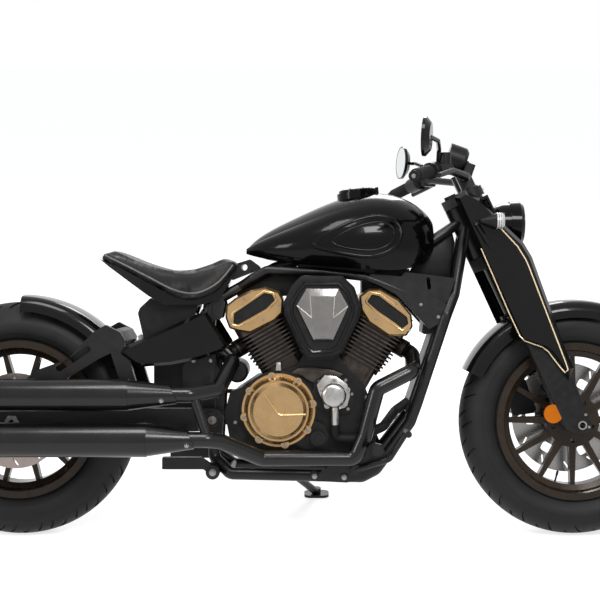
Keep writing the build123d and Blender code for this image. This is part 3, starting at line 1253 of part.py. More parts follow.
with BuildPart() as rear_indicators:
    with BuildSketch(Plane.XZ.offset(150)):
        with BuildLine():
            Polyline((TAIL_X + 42, 556), (TAIL_X + 42, 561), (TAIL_X, 577), (TAIL_X - 16, 577), (TAIL_X - 20, 572),
                     (TAIL_X - 20, 556), (TAIL_X + 42, 556))
        make_face()
    revolve(axis=Axis((0, -150, 556), (1, 0, 0)))
    rod((TAIL_X + 6, -150, 556), (TAIL_X + 6, -50, 580), 6)
    both_sides()
    add(tail_bracket.part, mode=Mode.SUBTRACT)
    add(tail_lamp.part, mode=Mode.SUBTRACT)
keep(rear_indicators, "rear_indicators")

# Lean everything onto the stand, put the tyres on the ground and the middle over the origin
leaned = [piece.rotate(Axis.X, -LEAN).moved(Location((0, 0, GROUND_DROP))) for piece in pieces]
whole = Compound(leaned)
box = whole.bounding_box()
centre = Vector((box.min.X + box.max.X) / 2, (box.min.Y + box.max.Y) / 2, 0)
os.makedirs("parts", exist_ok=True)
for piece, source in zip(leaned, pieces):
    placed = piece.moved(Location(-centre))
    placed.label = source.label
    export_step(placed, f"parts/{source.label}.step")
print("low", round(box.min.Z, 3), "size", box.size, "centre", centre)
print("cap hinge", tuple(round(v, 4) for v in hinge_at))
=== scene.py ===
# %% [markdown]
# # A bobber motorcycle on its side stand
#
# The motorcycle comes in as a finished mechanical model: frame, engine, wheels and every bracket at its
# real size. Here it gets what the eye needs: rubber that looks like rubber, lacquer, cast alloy, a stuffed
# leather saddle, tread, screws, pinstripes and a camera. We work in metres, with +X forward, +Y to the
# rider's left and +Z up.

# %% Load the frame
import cmath
import json
import math

import bmesh
import bpy
from mathutils import Matrix, Vector
from mathutils.bvhtree import BVHTree


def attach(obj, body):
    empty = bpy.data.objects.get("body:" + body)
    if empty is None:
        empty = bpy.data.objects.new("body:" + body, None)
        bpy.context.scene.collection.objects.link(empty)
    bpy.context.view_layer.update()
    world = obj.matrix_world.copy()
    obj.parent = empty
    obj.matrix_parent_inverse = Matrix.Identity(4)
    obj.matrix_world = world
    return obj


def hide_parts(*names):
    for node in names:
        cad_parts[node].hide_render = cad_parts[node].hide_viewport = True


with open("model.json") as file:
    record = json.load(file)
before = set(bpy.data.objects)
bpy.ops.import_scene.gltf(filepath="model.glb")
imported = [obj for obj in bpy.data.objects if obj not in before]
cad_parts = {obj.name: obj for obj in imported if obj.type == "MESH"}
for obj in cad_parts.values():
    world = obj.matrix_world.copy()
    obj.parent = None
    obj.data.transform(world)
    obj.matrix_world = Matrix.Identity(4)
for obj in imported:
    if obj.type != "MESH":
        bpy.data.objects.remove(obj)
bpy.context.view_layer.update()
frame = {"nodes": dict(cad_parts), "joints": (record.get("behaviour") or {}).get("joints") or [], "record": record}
node = frame["nodes"]

# %% [markdown]
# The motorcycle leans on its stand, so nothing on it is square to the floor. It is far easier to think
# about it standing upright, with y = 0 in its middle and the tyres on z = 0. So every new piece is modelled
# upright, and one matrix leans it over. The matrix is found from the rear wheel, whose place we know in
# both positions.

# %% Lean the upright bike over
LEAN = math.radians(10.5)
REAR_AXLE = Vector((-0.776, 0, 0.323))
FRONT_AXLE = Vector((0.760, 0, 0.316))
RAKE = math.radians(25)
FORWARD = Vector((1, 0, 0))
BACK = -FORWARD
LEFT = Vector((0, 1, 0))
RIGHT = -LEFT
FORK_UP = Vector((-math.sin(RAKE), 0, math.cos(RAKE)))
FORK_FORWARD = Vector((math.cos(RAKE), 0, math.sin(RAKE)))
lean_turn = Matrix.Rotation(-LEAN, 4, "X")
rear_wheel_joint = next(j for j in frame["joints"] if j["name"] == "rear_wheel_spin")
UPRIGHT = Matrix.Translation(Vector(rear_wheel_joint["pos_m"]) - lean_turn @ REAR_AXLE) @ lean_turn
print("upright bike sits at", [round(v, 4) for v in UPRIGHT.translation])


def fork_point(s, t, y):
    """A place on the upright bike, s up the fork from the front axle and t forward, in millimetres."""
    return FRONT_AXLE + (FORK_UP * s + FORK_FORWARD * t + LEFT * y) / 1000


# %% [markdown]
# Small parts are drawn in millimetres, the unit of a workshop drawing, and one function turns such a place into
# metres. Every mesh we make ends the same way: its doubles are welded, its faces turned outwards, the lean
# applied to its points, and the object left at the origin. A piece is then told which part of the motorcycle
# it rides on and whose finish it wears.

# %% Finish a piece
WELD = 0.00001
materials = {}


def at(x, y, z):
    """A place from millimetres on the upright bike."""
    return Vector((x / 1000, y / 1000, z / 1000))


def at_side(places, y):
    """(x, z) places at one distance y from the middle, from millimetres."""
    return [at(x, y, z) for x, z in places]


def add_object(name, data):
    """A new object in the scene."""
    made = bpy.data.objects.new(name, data)
    bpy.context.scene.collection.objects.link(made)
    return made


def add_piece(name, shape, slot, body="chassis", smooth=35, material=None):
    """Turns a bmesh on the upright bike into a leaning object that rides on a body."""
    bmesh.ops.remove_doubles(shape, verts=shape.verts, dist=WELD)
    bmesh.ops.recalc_face_normals(shape, faces=shape.faces)
    mesh = bpy.data.meshes.new(name)
    shape.to_mesh(mesh)
    shape.free()
    mesh.transform(UPRIGHT)
    mesh.shade_smooth()
    mesh.set_sharp_from_angle(angle=math.radians(smooth))
    piece = add_object(name, mesh)
    mesh.materials.append(materials[material or slot])
    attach(piece, body)
    print(name, "faces:", len(mesh.polygons))
    return piece


# %% [markdown]
# ## Finishes
#
# A real surface is never one flat colour. Three small shader groups carry what most of this motorcycle's
# finishes share: a lacquer or casting that varies a little from place to place, the fine pebble of moulded
# plastic and hide, and the turned rings of a machined disc. Each group is built once, with named inputs and
# outputs, and each material places it with its own values. Two helpers make the nodes and join them.

# %% Helpers for shader trees


def new_group(name, inputs, outputs):
    """A shader group with named sockets: each entry is (name, kind, default)."""
    group = bpy.data.node_groups.new(name, "ShaderNodeTree")
    for label, kind, value in inputs:
        socket = group.interface.new_socket(name=label, in_out="INPUT", socket_type="NodeSocket" + kind)
        if value is not None:
            socket.default_value = value
    for label, kind in outputs:
        group.interface.new_socket(name=label, in_out="OUTPUT", socket_type="NodeSocket" + kind)
    return group, group.nodes.new("NodeGroupInput"), group.nodes.new("NodeGroupOutput")


def add_node(tree, kind, values=None, **settings):
    """A shader node with its settings, and with values on its named inputs."""
    made = tree.nodes.new("ShaderNode" + kind)
    for label, value in settings.items():
        setattr(made, label, value)
    for label, value in (values or {}).items():
        made.inputs[label].default_value = value
    return made


def wire(tree, links):
    """Joins sockets: each link is (node, output, node, input)."""
    for source, output, target, entry in links:
        tree.links.new(source.outputs[output], target.inputs[entry])


# %% Group: uneven finish
group, start, end = new_group(
    "uneven_finish",
    [("Vector", "Vector", None), ("Scale", "Float", 12.0), ("Dark", "Color", (0, 0, 0, 1)),
     ("Light", "Color", (1, 1, 1, 1)), ("Rough low", "Float", 0.3), ("Rough high", "Float", 0.4)],
    [("Color", "Color"), ("Roughness", "Float"), ("Height", "Float")],
)
noise = add_node(group, "TexNoise", {"Detail": 5.0})
spread = add_node(group, "MapRange", {"From Min": 0.3, "From Max": 0.7})
tint = add_node(group, "Mix", data_type="RGBA")
rough = add_node(group, "MapRange")
wire(group, [
    (start, "Vector", noise, "Vector"), (start, "Scale", noise, "Scale"), (noise, "Fac", spread, "Value"),
    (spread, "Result", tint, "Factor"), (start, "Dark", tint, "A"), (start, "Light", tint, "B"),
    (spread, "Result", rough, "Value"), (start, "Rough low", rough, "To Min"),
    (start, "Rough high", rough, "To Max"), (tint, "Result", end, "Color"), (rough, "Result", end, "Roughness"),
    (noise, "Fac", end, "Height"),
])
print("group:", group.name, "nodes:", len(group.nodes))

# %% Group: pebble grain
group, start, end = new_group(
    "pebble_grain", [("Vector", "Vector", None), ("Scale", "Float", 600.0), ("Depth", "Float", 1.0)],
    [("Height", "Float")],
)
cells = add_node(group, "TexVoronoi", feature="SMOOTH_F1")
fold = add_node(group, "TexNoise", {"Scale": 40.0})
add_fold = add_node(group, "Math", operation="ADD")
amount = add_node(group, "Math", operation="MULTIPLY")
wire(group, [
    (start, "Vector", cells, "Vector"), (start, "Vector", fold, "Vector"), (start, "Scale", cells, "Scale"),
    (cells, "Distance", add_fold, 0), (fold, "Fac", add_fold, 1), (add_fold, "Value", amount, 0),
    (start, "Depth", amount, 1), (amount, "Value", end, "Height"),
])
print("group:", group.name, "nodes:", len(group.nodes))

# %% Group: turned rings
group, start, end = new_group(
    "turned_rings", [("Vector", "Vector", None), ("Spacing", "Float", 900.0)], [("Height", "Float")]
)
split = add_node(group, "SeparateXYZ")
flat = add_node(group, "CombineXYZ")
length = add_node(group, "VectorMath", operation="LENGTH")
rings = add_node(group, "TexNoise", {"Detail": 3.0}, noise_dimensions="1D")
wire(group, [
    (start, "Vector", split, "Vector"), (split, "X", flat, "X"), (split, "Z", flat, "Z"),
    (flat, "Vector", length, 0), (length, "Value", rings, "W"), (start, "Spacing", rings, "Scale"),
    (rings, "Fac", end, "Height"),
])
print("group:", group.name, "nodes:", len(group.nodes))

# %% [markdown]
# Each material is one Principled shader, with a colour, roughness and bump that come from the groups. A
# small recipe does the wiring, and a table gives each finish its two tones (one number is a plain grey), its
# roughness range, how metallic it is, how strongly it mirrors its surroundings, its clear coat, and how deep
# and how fine its bump is.
#
# The studio is white all round, so a black part that mirrors it as strongly as window glass does would look
# grey. The blacks here have a low specular level and a coat of low index: deep in the middle and bright only
# where we look along them, as lacquer does in a dark room with a few lamps.

# %% Recipe for a finish
COAT_IOR = 1.28


def new_material(name, values):
    """A material whose Principled shader has these values on its own sockets."""
    made = bpy.data.materials.new(name)
    made.use_nodes = True
    shader = made.node_tree.nodes["Principled BSDF"]
    for label, value in values.items():
        shader.inputs[label].default_value = value
    materials[name] = made
    return made.node_tree, shader


def add_group(tree, name, values):
    """Places one of the shared groups in a material's tree."""
    return add_node(tree, "Group", values, node_tree=bpy.data.node_groups[name])


def add_uneven(tree, scale, dark, light, rough):
    """Places the uneven finish; a tone is three numbers, or one for a plain grey."""
    dark, light = ((*tone, 1) if isinstance(tone, tuple) else (tone, tone, tone, 1) for tone in (dark, light))
    return add_group(tree, "uneven_finish", {
        "Scale": scale, "Dark": dark, "Light": light, "Rough low": rough[0], "Rough high": rough[1],
    })


def make_finish(name, dark, light, rough, metal, specular, coat, coat_rough, scale, bump=0, grain=None):
    """A material with an uneven finish, and a pebble grain of that (scale, depth) where one is given."""
    tree, shader = new_material(name, {
        "Metallic": metal, "Specular IOR Level": specular, "Coat Weight": coat, "Coat Roughness": coat_rough,
        "Coat IOR": COAT_IOR,
    })
    place = add_node(tree, "TexCoord")
    uneven = add_uneven(tree, scale, dark, light, rough)
    wire(tree, [
        (place, "Object", uneven, "Vector"), (uneven, "Color", shader, "Base Color"),
        (uneven, "Roughness", shader, "Roughness"),
    ])
    source = uneven
    if grain:
        source = add_group(tree, "pebble_grain", {"Scale": grain[0], "Depth": grain[1]})
        wire(tree, [(place, "Object", source, "Vector")])
    if bump:
        relief = add_node(tree, "Bump", {"Distance": bump})
        wire(tree, [(source, "Height", relief, "Height"), (relief, "Normal", shader, "Normal")])


# %% [markdown]
# The black parts of a motorcycle are many different blacks: deep gloss on the tank and panels, satin powder
# coat on the frame, a warm matt black on the engine castings, a dull heat-proof black on the exhaust, and the
# grey-black of rubber. Keeping them apart is what makes an all-black machine readable.

# %% The finishes
FINISHES = [
    # name, dark tone, light tone, roughness, metallic, specular, coat, coat roughness, scale, bump, grain
    ("gloss_black", 0.001, 0.002, (0.18, 0.22), 0, 0.05, 0.45, 0.04, 8),
    ("gloss_plastic", 0.002, 0.003, (0.2, 0.26), 0, 0.08, 0.6, 0.06, 10),
    ("frame_paint", 0.003, 0.006, (0.3, 0.4), 0, 0.28, 0, 0.2, 40, 0.00002),
    ("engine_black", 0.005, (0.011, 0.01, 0.01), (0.34, 0.44), 0, 0.17, 0, 0.1, 60, 0.00004, (900, 0.4)),
    ("fin_metal", (0.03, 0.024, 0.02), (0.06, 0.05, 0.043), (0.32, 0.44), 0.7, 0.3, 0, 0.1, 60, 0.00004),
    ("gold_cover", (0.38, 0.245, 0.115), (0.41, 0.268, 0.13), (0.24, 0.31), 0.95, 0.4, 0, 0.15, 26),
    ("silver_metal", (0.3, 0.29, 0.28), (0.37, 0.36, 0.35), (0.26, 0.36), 0.95, 0.4, 0, 0.1, 60, 0.00004),
    ("wheel_bronze", (0.016, 0.01, 0.006), (0.023, 0.015, 0.009), (0.24, 0.32), 0.3, 0.22, 0.2, 0.1, 30),
    ("exhaust_black", 0.002, 0.004, (0.2, 0.26), 0, 0.32, 0, 0.1, 14, 0.00001),
    ("chain_steel", (0.05, 0.043, 0.034), (0.11, 0.098, 0.074), (0.32, 0.46), 0.9, 0.4, 0, 0.1, 120),
    ("tube_chrome", (0.32, 0.32, 0.33), (0.38, 0.38, 0.39), (0.08, 0.14), 1.0, 0.5, 0, 0.1, 20),
    ("tube_dark", (0.008, 0.008, 0.009), (0.012, 0.012, 0.013), (0.12, 0.18), 0.3, 0.3, 0, 0.1, 20),
    ("steel", (0.22, 0.21, 0.2), (0.31, 0.3, 0.285), (0.26, 0.36), 0.95, 0.5, 0, 0.1, 80, 0.00002),
    ("grip_rubber", 0.004, 0.008, (0.58, 0.7), 0, 0.15, 0, 0.1, 60, 0.0002, (700, 0.6)),
    ("tyre_rubber", 0.006, 0.011, (0.5, 0.62), 0, 0.2, 0, 0.1, 18, 0.0002, (1500, 0.3)),
    ("seat_leather", (0.005, 0.0045, 0.0045), (0.01, 0.009, 0.009), (0.44, 0.54), 0, 0.2, 0, 0.1, 14, 0.0004,
     (520, 1.0)),
    ("black_plastic", 0.004, 0.008, (0.38, 0.46), 0, 0.16, 0, 0.1, 50, 0.00006, (1100, 0.5)),
    ("plate_grey", (0.18, 0.172, 0.164), (0.205, 0.197, 0.188), (0.2, 0.26), 0.9, 0.4, 0, 0.1, 40),
    ("plate_white", (0.62, 0.62, 0.6), (0.68, 0.68, 0.66), (0.38, 0.46), 0, 0.4, 0.2, 0.2, 30),
    ("lens_red", (0.3, 0.008, 0.006), (0.38, 0.011, 0.009), (0.08, 0.12), 0, 0.3, 0.8, 0.03, 20),
    ("lens_amber", (0.36, 0.09, 0.001), (0.44, 0.115, 0.002), (0.1, 0.14), 0, 0.1, 0.15, 0.05, 20),
    ("lens_frosted", (0.4, 0.4, 0.39), (0.48, 0.48, 0.47), (0.12, 0.18), 0, 0.5, 0.8, 0.03, 40),
    ("stripe_gold", (0.66, 0.52, 0.32), (0.74, 0.6, 0.39), (0.28, 0.36), 0.2, 0.4, 0.4, 0.1, 60),
    ("seat_piping", (0.085, 0.082, 0.078), (0.125, 0.12, 0.112), (0.4, 0.5), 0, 0.3, 0, 0.1, 60, 0.0001),
]
for row in FINISHES:
    make_finish(*row)
print("finishes:", sorted(materials))

# %% [markdown]
# Glass, mirror and the machined brake discs need their own wiring. The discs are ground in circles, so their
# bump follows the distance from the axle: a Mapping node moves the pattern's middle to the wheel.

# %% Glass, mirror and ground steel
new_material("lens_clear", {
    "Base Color": (0.95, 0.97, 1.0, 1), "Roughness": 0.03, "Transmission Weight": 0.95, "IOR": 1.45,
})
new_material("mirror_glass", {"Base Color": (0.80, 0.82, 0.83, 1), "Roughness": 0.02, "Metallic": 1.0})
GROUND_SCALE, GROUND_ROUGH = 25, (0.22, 0.28)


def ground_steel(name, axle, dark, light):
    """Steel turned or ground round an axle."""
    tree, shader = new_material(name, {"Metallic": 0.95})
    place = add_node(tree, "TexCoord")
    centre = add_node(
        tree, "Mapping", {"Location": UPRIGHT @ axle, "Rotation": (-LEAN, 0, 0)}, vector_type="TEXTURE"
    )
    rings = add_group(tree, "turned_rings", {})
    uneven = add_uneven(tree, GROUND_SCALE, dark, light, GROUND_ROUGH)
    relief = add_node(tree, "Bump", {"Distance": 0.00008})
    wire(tree, [
        (place, "Object", centre, "Vector"), (centre, "Vector", rings, "Vector"),
        (centre, "Vector", uneven, "Vector"), (uneven, "Color", shader, "Base Color"),
        (uneven, "Roughness", shader, "Roughness"), (rings, "Height", relief, "Height"),
        (relief, "Normal", shader, "Normal"),
    ])


ground_steel("disc_steel_front", FRONT_AXLE, (0.27, 0.26, 0.25), (0.30, 0.29, 0.28))
ground_steel("disc_steel_rear", REAR_AXLE, (0.31, 0.25, 0.23), (0.34, 0.28, 0.26))
print("materials:", len(materials))

# %% [markdown]
# ## Dress the mechanical pieces
#
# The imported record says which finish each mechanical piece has. Their meshes stay untouched; only the
# material slots change. A few nodes get a finish of their own, such as the ground steel of each brake disc.

# %% Give each CAD node its finish
OWN_FINISH = {
    "front_disc": "disc_steel_front", "rear_disc": "disc_steel_rear", "rear_sprocket": "chain_steel",
    "fork_tubes": "tube_dark", "rear_fender": "gloss_plastic", "swingarm_cross": "black_plastic",
}
for entry in frame["record"]["subparts"]:
    mesh = node[entry["node"]].data
    mesh.materials.clear()
    mesh.materials.append(materials[OWN_FINISH.get(entry["node"], entry["material_slot"])])

# %% [markdown]
# ## Small tools for shapes
#
# Most small things on a motorcycle are made in one of a few ways, so a few helpers carry the rest of this
# lesson: a profile turned on a lathe, a plate cut to an outline, a plain box, a bead laid along a line, and a
# copy of everything on the other side of the bike.

# %% Turn, cut, lay and mirror


def facing(place, outward):
    """The matrix that sets something drawn upwards at a place, pointing outward."""
    turn = Vector((0, 0, 1)).rotation_difference(Vector(outward).normalized())
    return Matrix.Translation(place) @ turn.to_matrix().to_4x4()


def turned(rows, place, outward, steps=40):
    """A lathe-turned shape: (radius, height) rows in millimetres, spun round an axis outward from a place."""
    shape = bmesh.new()
    ring = [shape.verts.new(at(radius, 0, height)) for radius, height in rows]
    line = [shape.edges.new(pair) for pair in zip(ring, ring[1:])]
    bmesh.ops.spin(
        shape, geom=ring + line, cent=(0, 0, 0), axis=(0, 0, 1), angle=math.tau, steps=steps, use_merge=True,
        use_duplicate=False,
    )
    bmesh.ops.remove_doubles(shape, verts=shape.verts, dist=2 * WELD)
    bmesh.ops.transform(shape, matrix=facing(place, outward), verts=shape.verts)
    return shape


def round_edges(shape, edges, width, segments=2):
    """Bevels edges by a width in millimetres."""
    bmesh.ops.bevel(
        shape, geom=edges, offset=width / 1000, offset_type="OFFSET", affect="EDGES", segments=segments, profile=0.5,
        material=-1,
    )


def plate(outline, y_from, y_to, edge):
    """A plate with that (x, z) outline, all in millimetres, its rim at y_to bevelled by edge."""
    shape = bmesh.new()
    corners = [shape.verts.new(at(x, y_from, z)) for x, z in outline]
    rim = [shape.edges.new(pair) for pair in zip(corners, corners[1:] + corners[:1])]
    bmesh.ops.contextual_create(shape, geom=rim)
    lifted = bmesh.ops.extrude_face_region(shape, geom=list(shape.faces))
    top = {g for g in lifted["geom"] if isinstance(g, bmesh.types.BMVert)}
    bmesh.ops.translate(shape, verts=list(top), vec=(0, (y_to - y_from) / 1000, 0))
    round_edges(shape, [e for e in shape.edges if e.verts[0] in top and e.verts[1] in top], edge)
    return shape


def add_box(shape, place, size):
    """A box of a size in millimetres, set by the matrix of its place."""
    bmesh.ops.create_cube(shape, size=1.0, matrix=place @ Matrix.Diagonal((*at(*size), 1)))


def mesh_of(curve):
    """Turns a curve or a text into a mesh, and removes the curve."""
    holder = bpy.data.objects.new("holder", curve)
    mesh = bpy.data.meshes.new_from_object(holder)
    bpy.data.objects.remove(holder)
    bpy.data.curves.remove(curve)
    return mesh


def line_mesh(kind, points, closed, radius=0.0, sides=0):
    """The mesh of a curve along points: a bare line, or a round bead where it has a radius in millimetres."""
    curve = bpy.data.curves.new("line", "CURVE")
    curve.dimensions = "3D"
    curve.bevel_depth = radius / 1000
    curve.bevel_resolution = sides
    curve.use_fill_caps = True
    spline = curve.splines.new(kind)
    spline.points.add(len(points) - 1)
    for knot, place in zip(spline.points, points):
        knot.co = (*place, 1)
    spline.use_cyclic_u = closed
    spline.use_endpoint_u = not closed
    spline.order_u = 3
    spline.resolution_u = 6
    return mesh_of(curve)


def pour(shape, mesh):
    """Adds a mesh to a shape, and removes the mesh."""
    shape.from_mesh(mesh)
    bpy.data.meshes.remove(mesh)


def bead(points, radius, closed=False, sides=2):
    """A round bead along places, its radius in millimetres; sides is the curve's bevel resolution."""
    shape = bmesh.new()
    pour(shape, line_mesh("POLY", points, closed, radius, sides))
    return shape


def gather(shapes):
    """One shape made of several."""
    whole = bmesh.new()
    for shape in shapes:
        mesh = bpy.data.meshes.new("part")
        shape.to_mesh(mesh)
        shape.free()
        pour(whole, mesh)
    return whole


def both_sides(shape):
    """Adds the same again on the other side of the bike."""
    copied = bmesh.ops.duplicate(shape, geom=shape.verts[:] + shape.edges[:] + shape.faces[:])
    verts = [g for g in copied["geom"] if isinstance(g, bmesh.types.BMVert)]
    faces = [g for g in copied["geom"] if isinstance(g, bmesh.types.BMFace)]
    bmesh.ops.scale(shape, vec=(1, -1, 1), verts=verts)
    bmesh.ops.reverse_faces(shape, faces=faces)
    return shape


# %% [markdown]
# Some lines follow a surface that curves, such as the piping on the saddle or the ridge on the tank. We draw
# them flat, as seen from the side, and drop each point onto the surface with a search tree, the way chalk
# would mark it.

# %% Drop a line onto a surface
TO_UPRIGHT = UPRIGHT.inverted()
OUTSIDE = 600


def surface_of(piece):
    """A search tree of a piece's surface, on the upright bike."""
    places = [TO_UPRIGHT @ piece.matrix_world @ v.co for v in piece.data.vertices]
    return BVHTree.FromPolygons(places, [tuple(p.vertices) for p in piece.data.polygons])


def drop_on(tree, points, side, lift=0.0):
    """(x, z) points dropped on the surface from side -1 (right) or 1 (left), raised by lift, in millimetres."""
    dropped = []
    for x, z in points:
        place, normal = tree.ray_cast(at(x, side * OUTSIDE, z), RIGHT * side)[:2]
        if place is not None:
            dropped.append(place + normal * lift / 1000 * (1 if normal.y * side > 0 else -1))
    return dropped


def refine(points, closed=False):
    """The (x, z) points of a smooth line through the corners given."""
    mesh = line_mesh("NURBS", [(x, 0, z) for x, z in points], closed)
    line = [(v.co.x, v.co.z) for v in mesh.vertices]
    bpy.data.meshes.remove(mesh)
    return line


# %% [markdown]
# ## Tyres
#
# A tyre is a turned shape, so its cross-section is drawn once and spun round the axle. We shear the drawing
# first: a point further from the middle is turned a little round the axle, so the rows of faces run slantwise
# over the tread, as the grooves do. Faces in some of those rows are then pushed in, and they become grooves
# with real walls. A raised band runs round each sidewall.

# %% Spin a tyre and cut its tread


def arc_points(first, through, last, count):
    """Points along the circle through three points, the first one left out."""
    a, b, c = complex(*first), complex(*through), complex(*last)
    w = (c - a) / (b - a)
    centre = a + (b - a) * (w - abs(w) ** 2) / (w - w.conjugate())
    turn, via = (cmath.phase((p - centre) / (a - centre)) for p in (c, b))
    if abs(via) > abs(turn) or via * turn < 0:
        turn -= math.copysign(math.tau, turn)
    arc = [centre + (a - centre) * cmath.exp(1j * turn * i / count) for i in range(1, count + 1)]
    return [Vector((p.real, p.imag)) for p in arc]


GROOVE_DEPTH = 0.005
TYRE_STEPS = 288
CROWN, CROWN_COLUMNS, CROWN_SHARE = 0.072, 24, 0.86
WAIST, FOOT = 0.219, 0.2056
WALL_STEPS, BULGE_SHARE = 12, 0.55
BAND_RISE = 0.0012


def is_groove(step, across, pitch, rows):
    """Whether a face is pushed in: rows of (phase, from, to), again every pitch and staggered left to right."""
    phase = (step + (pitch // 2 if across > 0 else 0)) % pitch
    return any(phase == where and low < abs(across) < high for where, low, high in rows)


def make_tyre(name, body, replaced, axle, tyre_r, half, rim_half, slant, pitch, rows):
    """A tyre with a crowned tread and the grooves of rows."""
    edge = CROWN_SHARE * CROWN
    shoulder_r = tyre_r - CROWN + math.sqrt(CROWN**2 - edge**2)
    bulge = WAIST + BULGE_SHARE * (shoulder_r - WAIST)
    bead_x = rim_half - 0.009
    profile = [Vector((-edge, shoulder_r))]
    profile += arc_points((-edge, shoulder_r), (0, tyre_r), (edge, shoulder_r), CROWN_COLUMNS)
    wall = arc_points((edge, shoulder_r), (half, bulge), (bead_x + 0.001, WAIST), WALL_STEPS)
    raised = Vector((BAND_RISE, 0))
    band = [point + raised for point in wall[3:8]]
    profile += wall[:4] + band + wall[7:]
    profile += [Vector((bead_x, FOOT)), Vector((bead_x - 0.012, FOOT)), Vector((bead_x - 0.009, WAIST + 0.006))]
    mirrored = [Vector((-p.x, p.y)) for p in reversed(profile[CROWN_COLUMNS + 1:])]
    shape = bmesh.new()

    def turn_at(y):
        return slant * min(abs(y) / edge, 1.0)

    ring = [
        shape.verts.new((p.y * math.sin(turn_at(p.x)), p.x, p.y * math.cos(turn_at(p.x))))
        for p in mirrored + profile
    ]
    line = [shape.edges.new(pair) for pair in zip(ring, ring[1:])]
    bmesh.ops.spin(
        shape, geom=ring + line, cent=(0, 0, 0), axis=(0, 1, 0), angle=math.tau, steps=TYRE_STEPS,
        use_merge=True, use_duplicate=False,
    )
    bmesh.ops.remove_doubles(shape, verts=shape.verts, dist=WELD)
    bmesh.ops.recalc_face_normals(shape, faces=shape.faces)
    cut = []
    for face in shape.faces:
        middle = face.calc_center_median()
        if math.hypot(middle.x, middle.z) < shoulder_r or abs(middle.y) > edge:
            continue
        angle = math.atan2(middle.x, middle.z) - turn_at(middle.y)
        step = int((angle / math.tau % 1.0) * TYRE_STEPS)
        if is_groove(step, middle.y / edge, pitch, rows):
            cut.append(face)
    pushed = bmesh.ops.extrude_face_region(shape, geom=cut)
    bmesh.ops.delete(shape, geom=cut, context="FACES")
    for vert in (g for g in pushed["geom"] if isinstance(g, bmesh.types.BMVert)):
        reach = math.hypot(vert.co.x, vert.co.z)
        vert.co.x *= (reach - GROOVE_DEPTH) / reach
        vert.co.z *= (reach - GROOVE_DEPTH) / reach
    bmesh.ops.translate(shape, verts=shape.verts, vec=axle)
    print(name, "grooved faces:", len(cut))
    piece = add_piece(name, shape, "tyre_rubber", body, smooth=32)
    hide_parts(replaced)


# In front a long groove from near the middle and a short one at the shoulder; behind a broad one and two short.
FRONT_ROWS = [(0, 0.08, 0.66), (6, 0.42, 0.97)]
REAR_ROWS = [(0, 0.08, 0.72), (1, 0.08, 0.72), (6, 0.50, 0.97), (11, 0.50, 0.97)]
make_tyre("front_tyre_tread", "front_wheel", "front_tyre", FRONT_AXLE, 0.316, 0.065, 0.053, 0.13, 12, FRONT_ROWS)
make_tyre("rear_tyre_tread", "rear_wheel", "rear_tyre", REAR_AXLE, 0.323, 0.075, 0.062, -0.13, 16, REAR_ROWS)

# %% [markdown]
# ## The saddle
#
# The seat is foam under a leather cover. The mechanical model has its plain shape; we copy it, remesh it to an
# even skin and let a little air pressure plump it up, as the foam does to the cover. The piping round its foot
# is laid on after that, where the plumped cover really is.

# %% Stuff the saddle
MOST_MOVE = 0.008
SKIN_VOXEL = 0.006
AIR_PRESSURE = 4.0
CLOTH_FRAMES = 20
pad_mesh = node["seat_pad"].data.copy()
pad = add_object("saddle_pad", pad_mesh)
weld = bmesh.new()
weld.from_mesh(pad_mesh)
bmesh.ops.remove_doubles(weld, verts=weld.verts, dist=10 * WELD)
weld.to_mesh(pad_mesh)
weld.free()
bpy.context.view_layer.objects.active = pad
skin = pad.modifiers.new("skin", "REMESH")
skin.mode = "VOXEL"
skin.voxel_size = SKIN_VOXEL
soften = pad.modifiers.new("soften", "SMOOTH")
soften.iterations = 14
soften.factor = 0.5
bpy.ops.object.modifier_apply(modifier="skin")
bpy.ops.object.modifier_apply(modifier="soften")
plain = [v.co.copy() for v in pad.data.vertices]
cover = pad.modifiers.new("cover", "CLOTH")
cover.settings.use_pressure = True
cover.settings.uniform_pressure_force = AIR_PRESSURE
cover.settings.effector_weights.gravity = 0.0
cover.settings.tension_stiffness = 20
for step in range(1, CLOTH_FRAMES + 1):
    bpy.context.scene.frame_set(step)
bpy.ops.object.modifier_apply(modifier="cover")
bpy.context.scene.frame_set(1)
for vert, before in zip(pad.data.vertices, plain):
    moved = vert.co - before
    if moved.length > MOST_MOVE:
        vert.co = before + moved.normalized() * MOST_MOVE
pad.data.materials.clear()
pad.data.materials.append(materials["seat_leather"])
pad.data.shade_smooth()
saddle_surface = surface_of(pad)
round_off = pad.modifiers.new("round_off", "SUBSURF")
round_off.levels = 1
round_off.render_levels = 1
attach(pad, "chassis")
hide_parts("seat_pad")
print("saddle points:", len(pad.data.vertices))

# %% Lay its piping
PIPING = [
    (-533, 776), (-500, 760), (-470, 746), (-430, 726), (-400, 711), (-375, 697), (-334, 677), (-292, 669),
    (-265, 675), (-240, 688), (-220, 702), (-196, 730), (-184, 748),
]
piping = [bead(drop_on(saddle_surface, refine(PIPING), side), 2.6) for side in (-1, 1)]
add_piece("saddle_piping", gather(piping), "seat_leather", material="seat_piping")

# %% [markdown]
# ## Screws
#
# Covers are held by rows of screws, and without them castings look like toys. One screw is a washer face with a
# six-sided head; it is stamped wherever a table says. Each table row is a place, the way the screw looks, and
# its radius in millimetres. All the screws of one place and finish are one mesh.

# %% Stamp screws
WASHER = (18, 1.0, -0.25, 0.22)
HEAD = (6, 0.78, 0.22, 0.85)
TAPER = 0.94
HEAD_BEVEL = 0.08


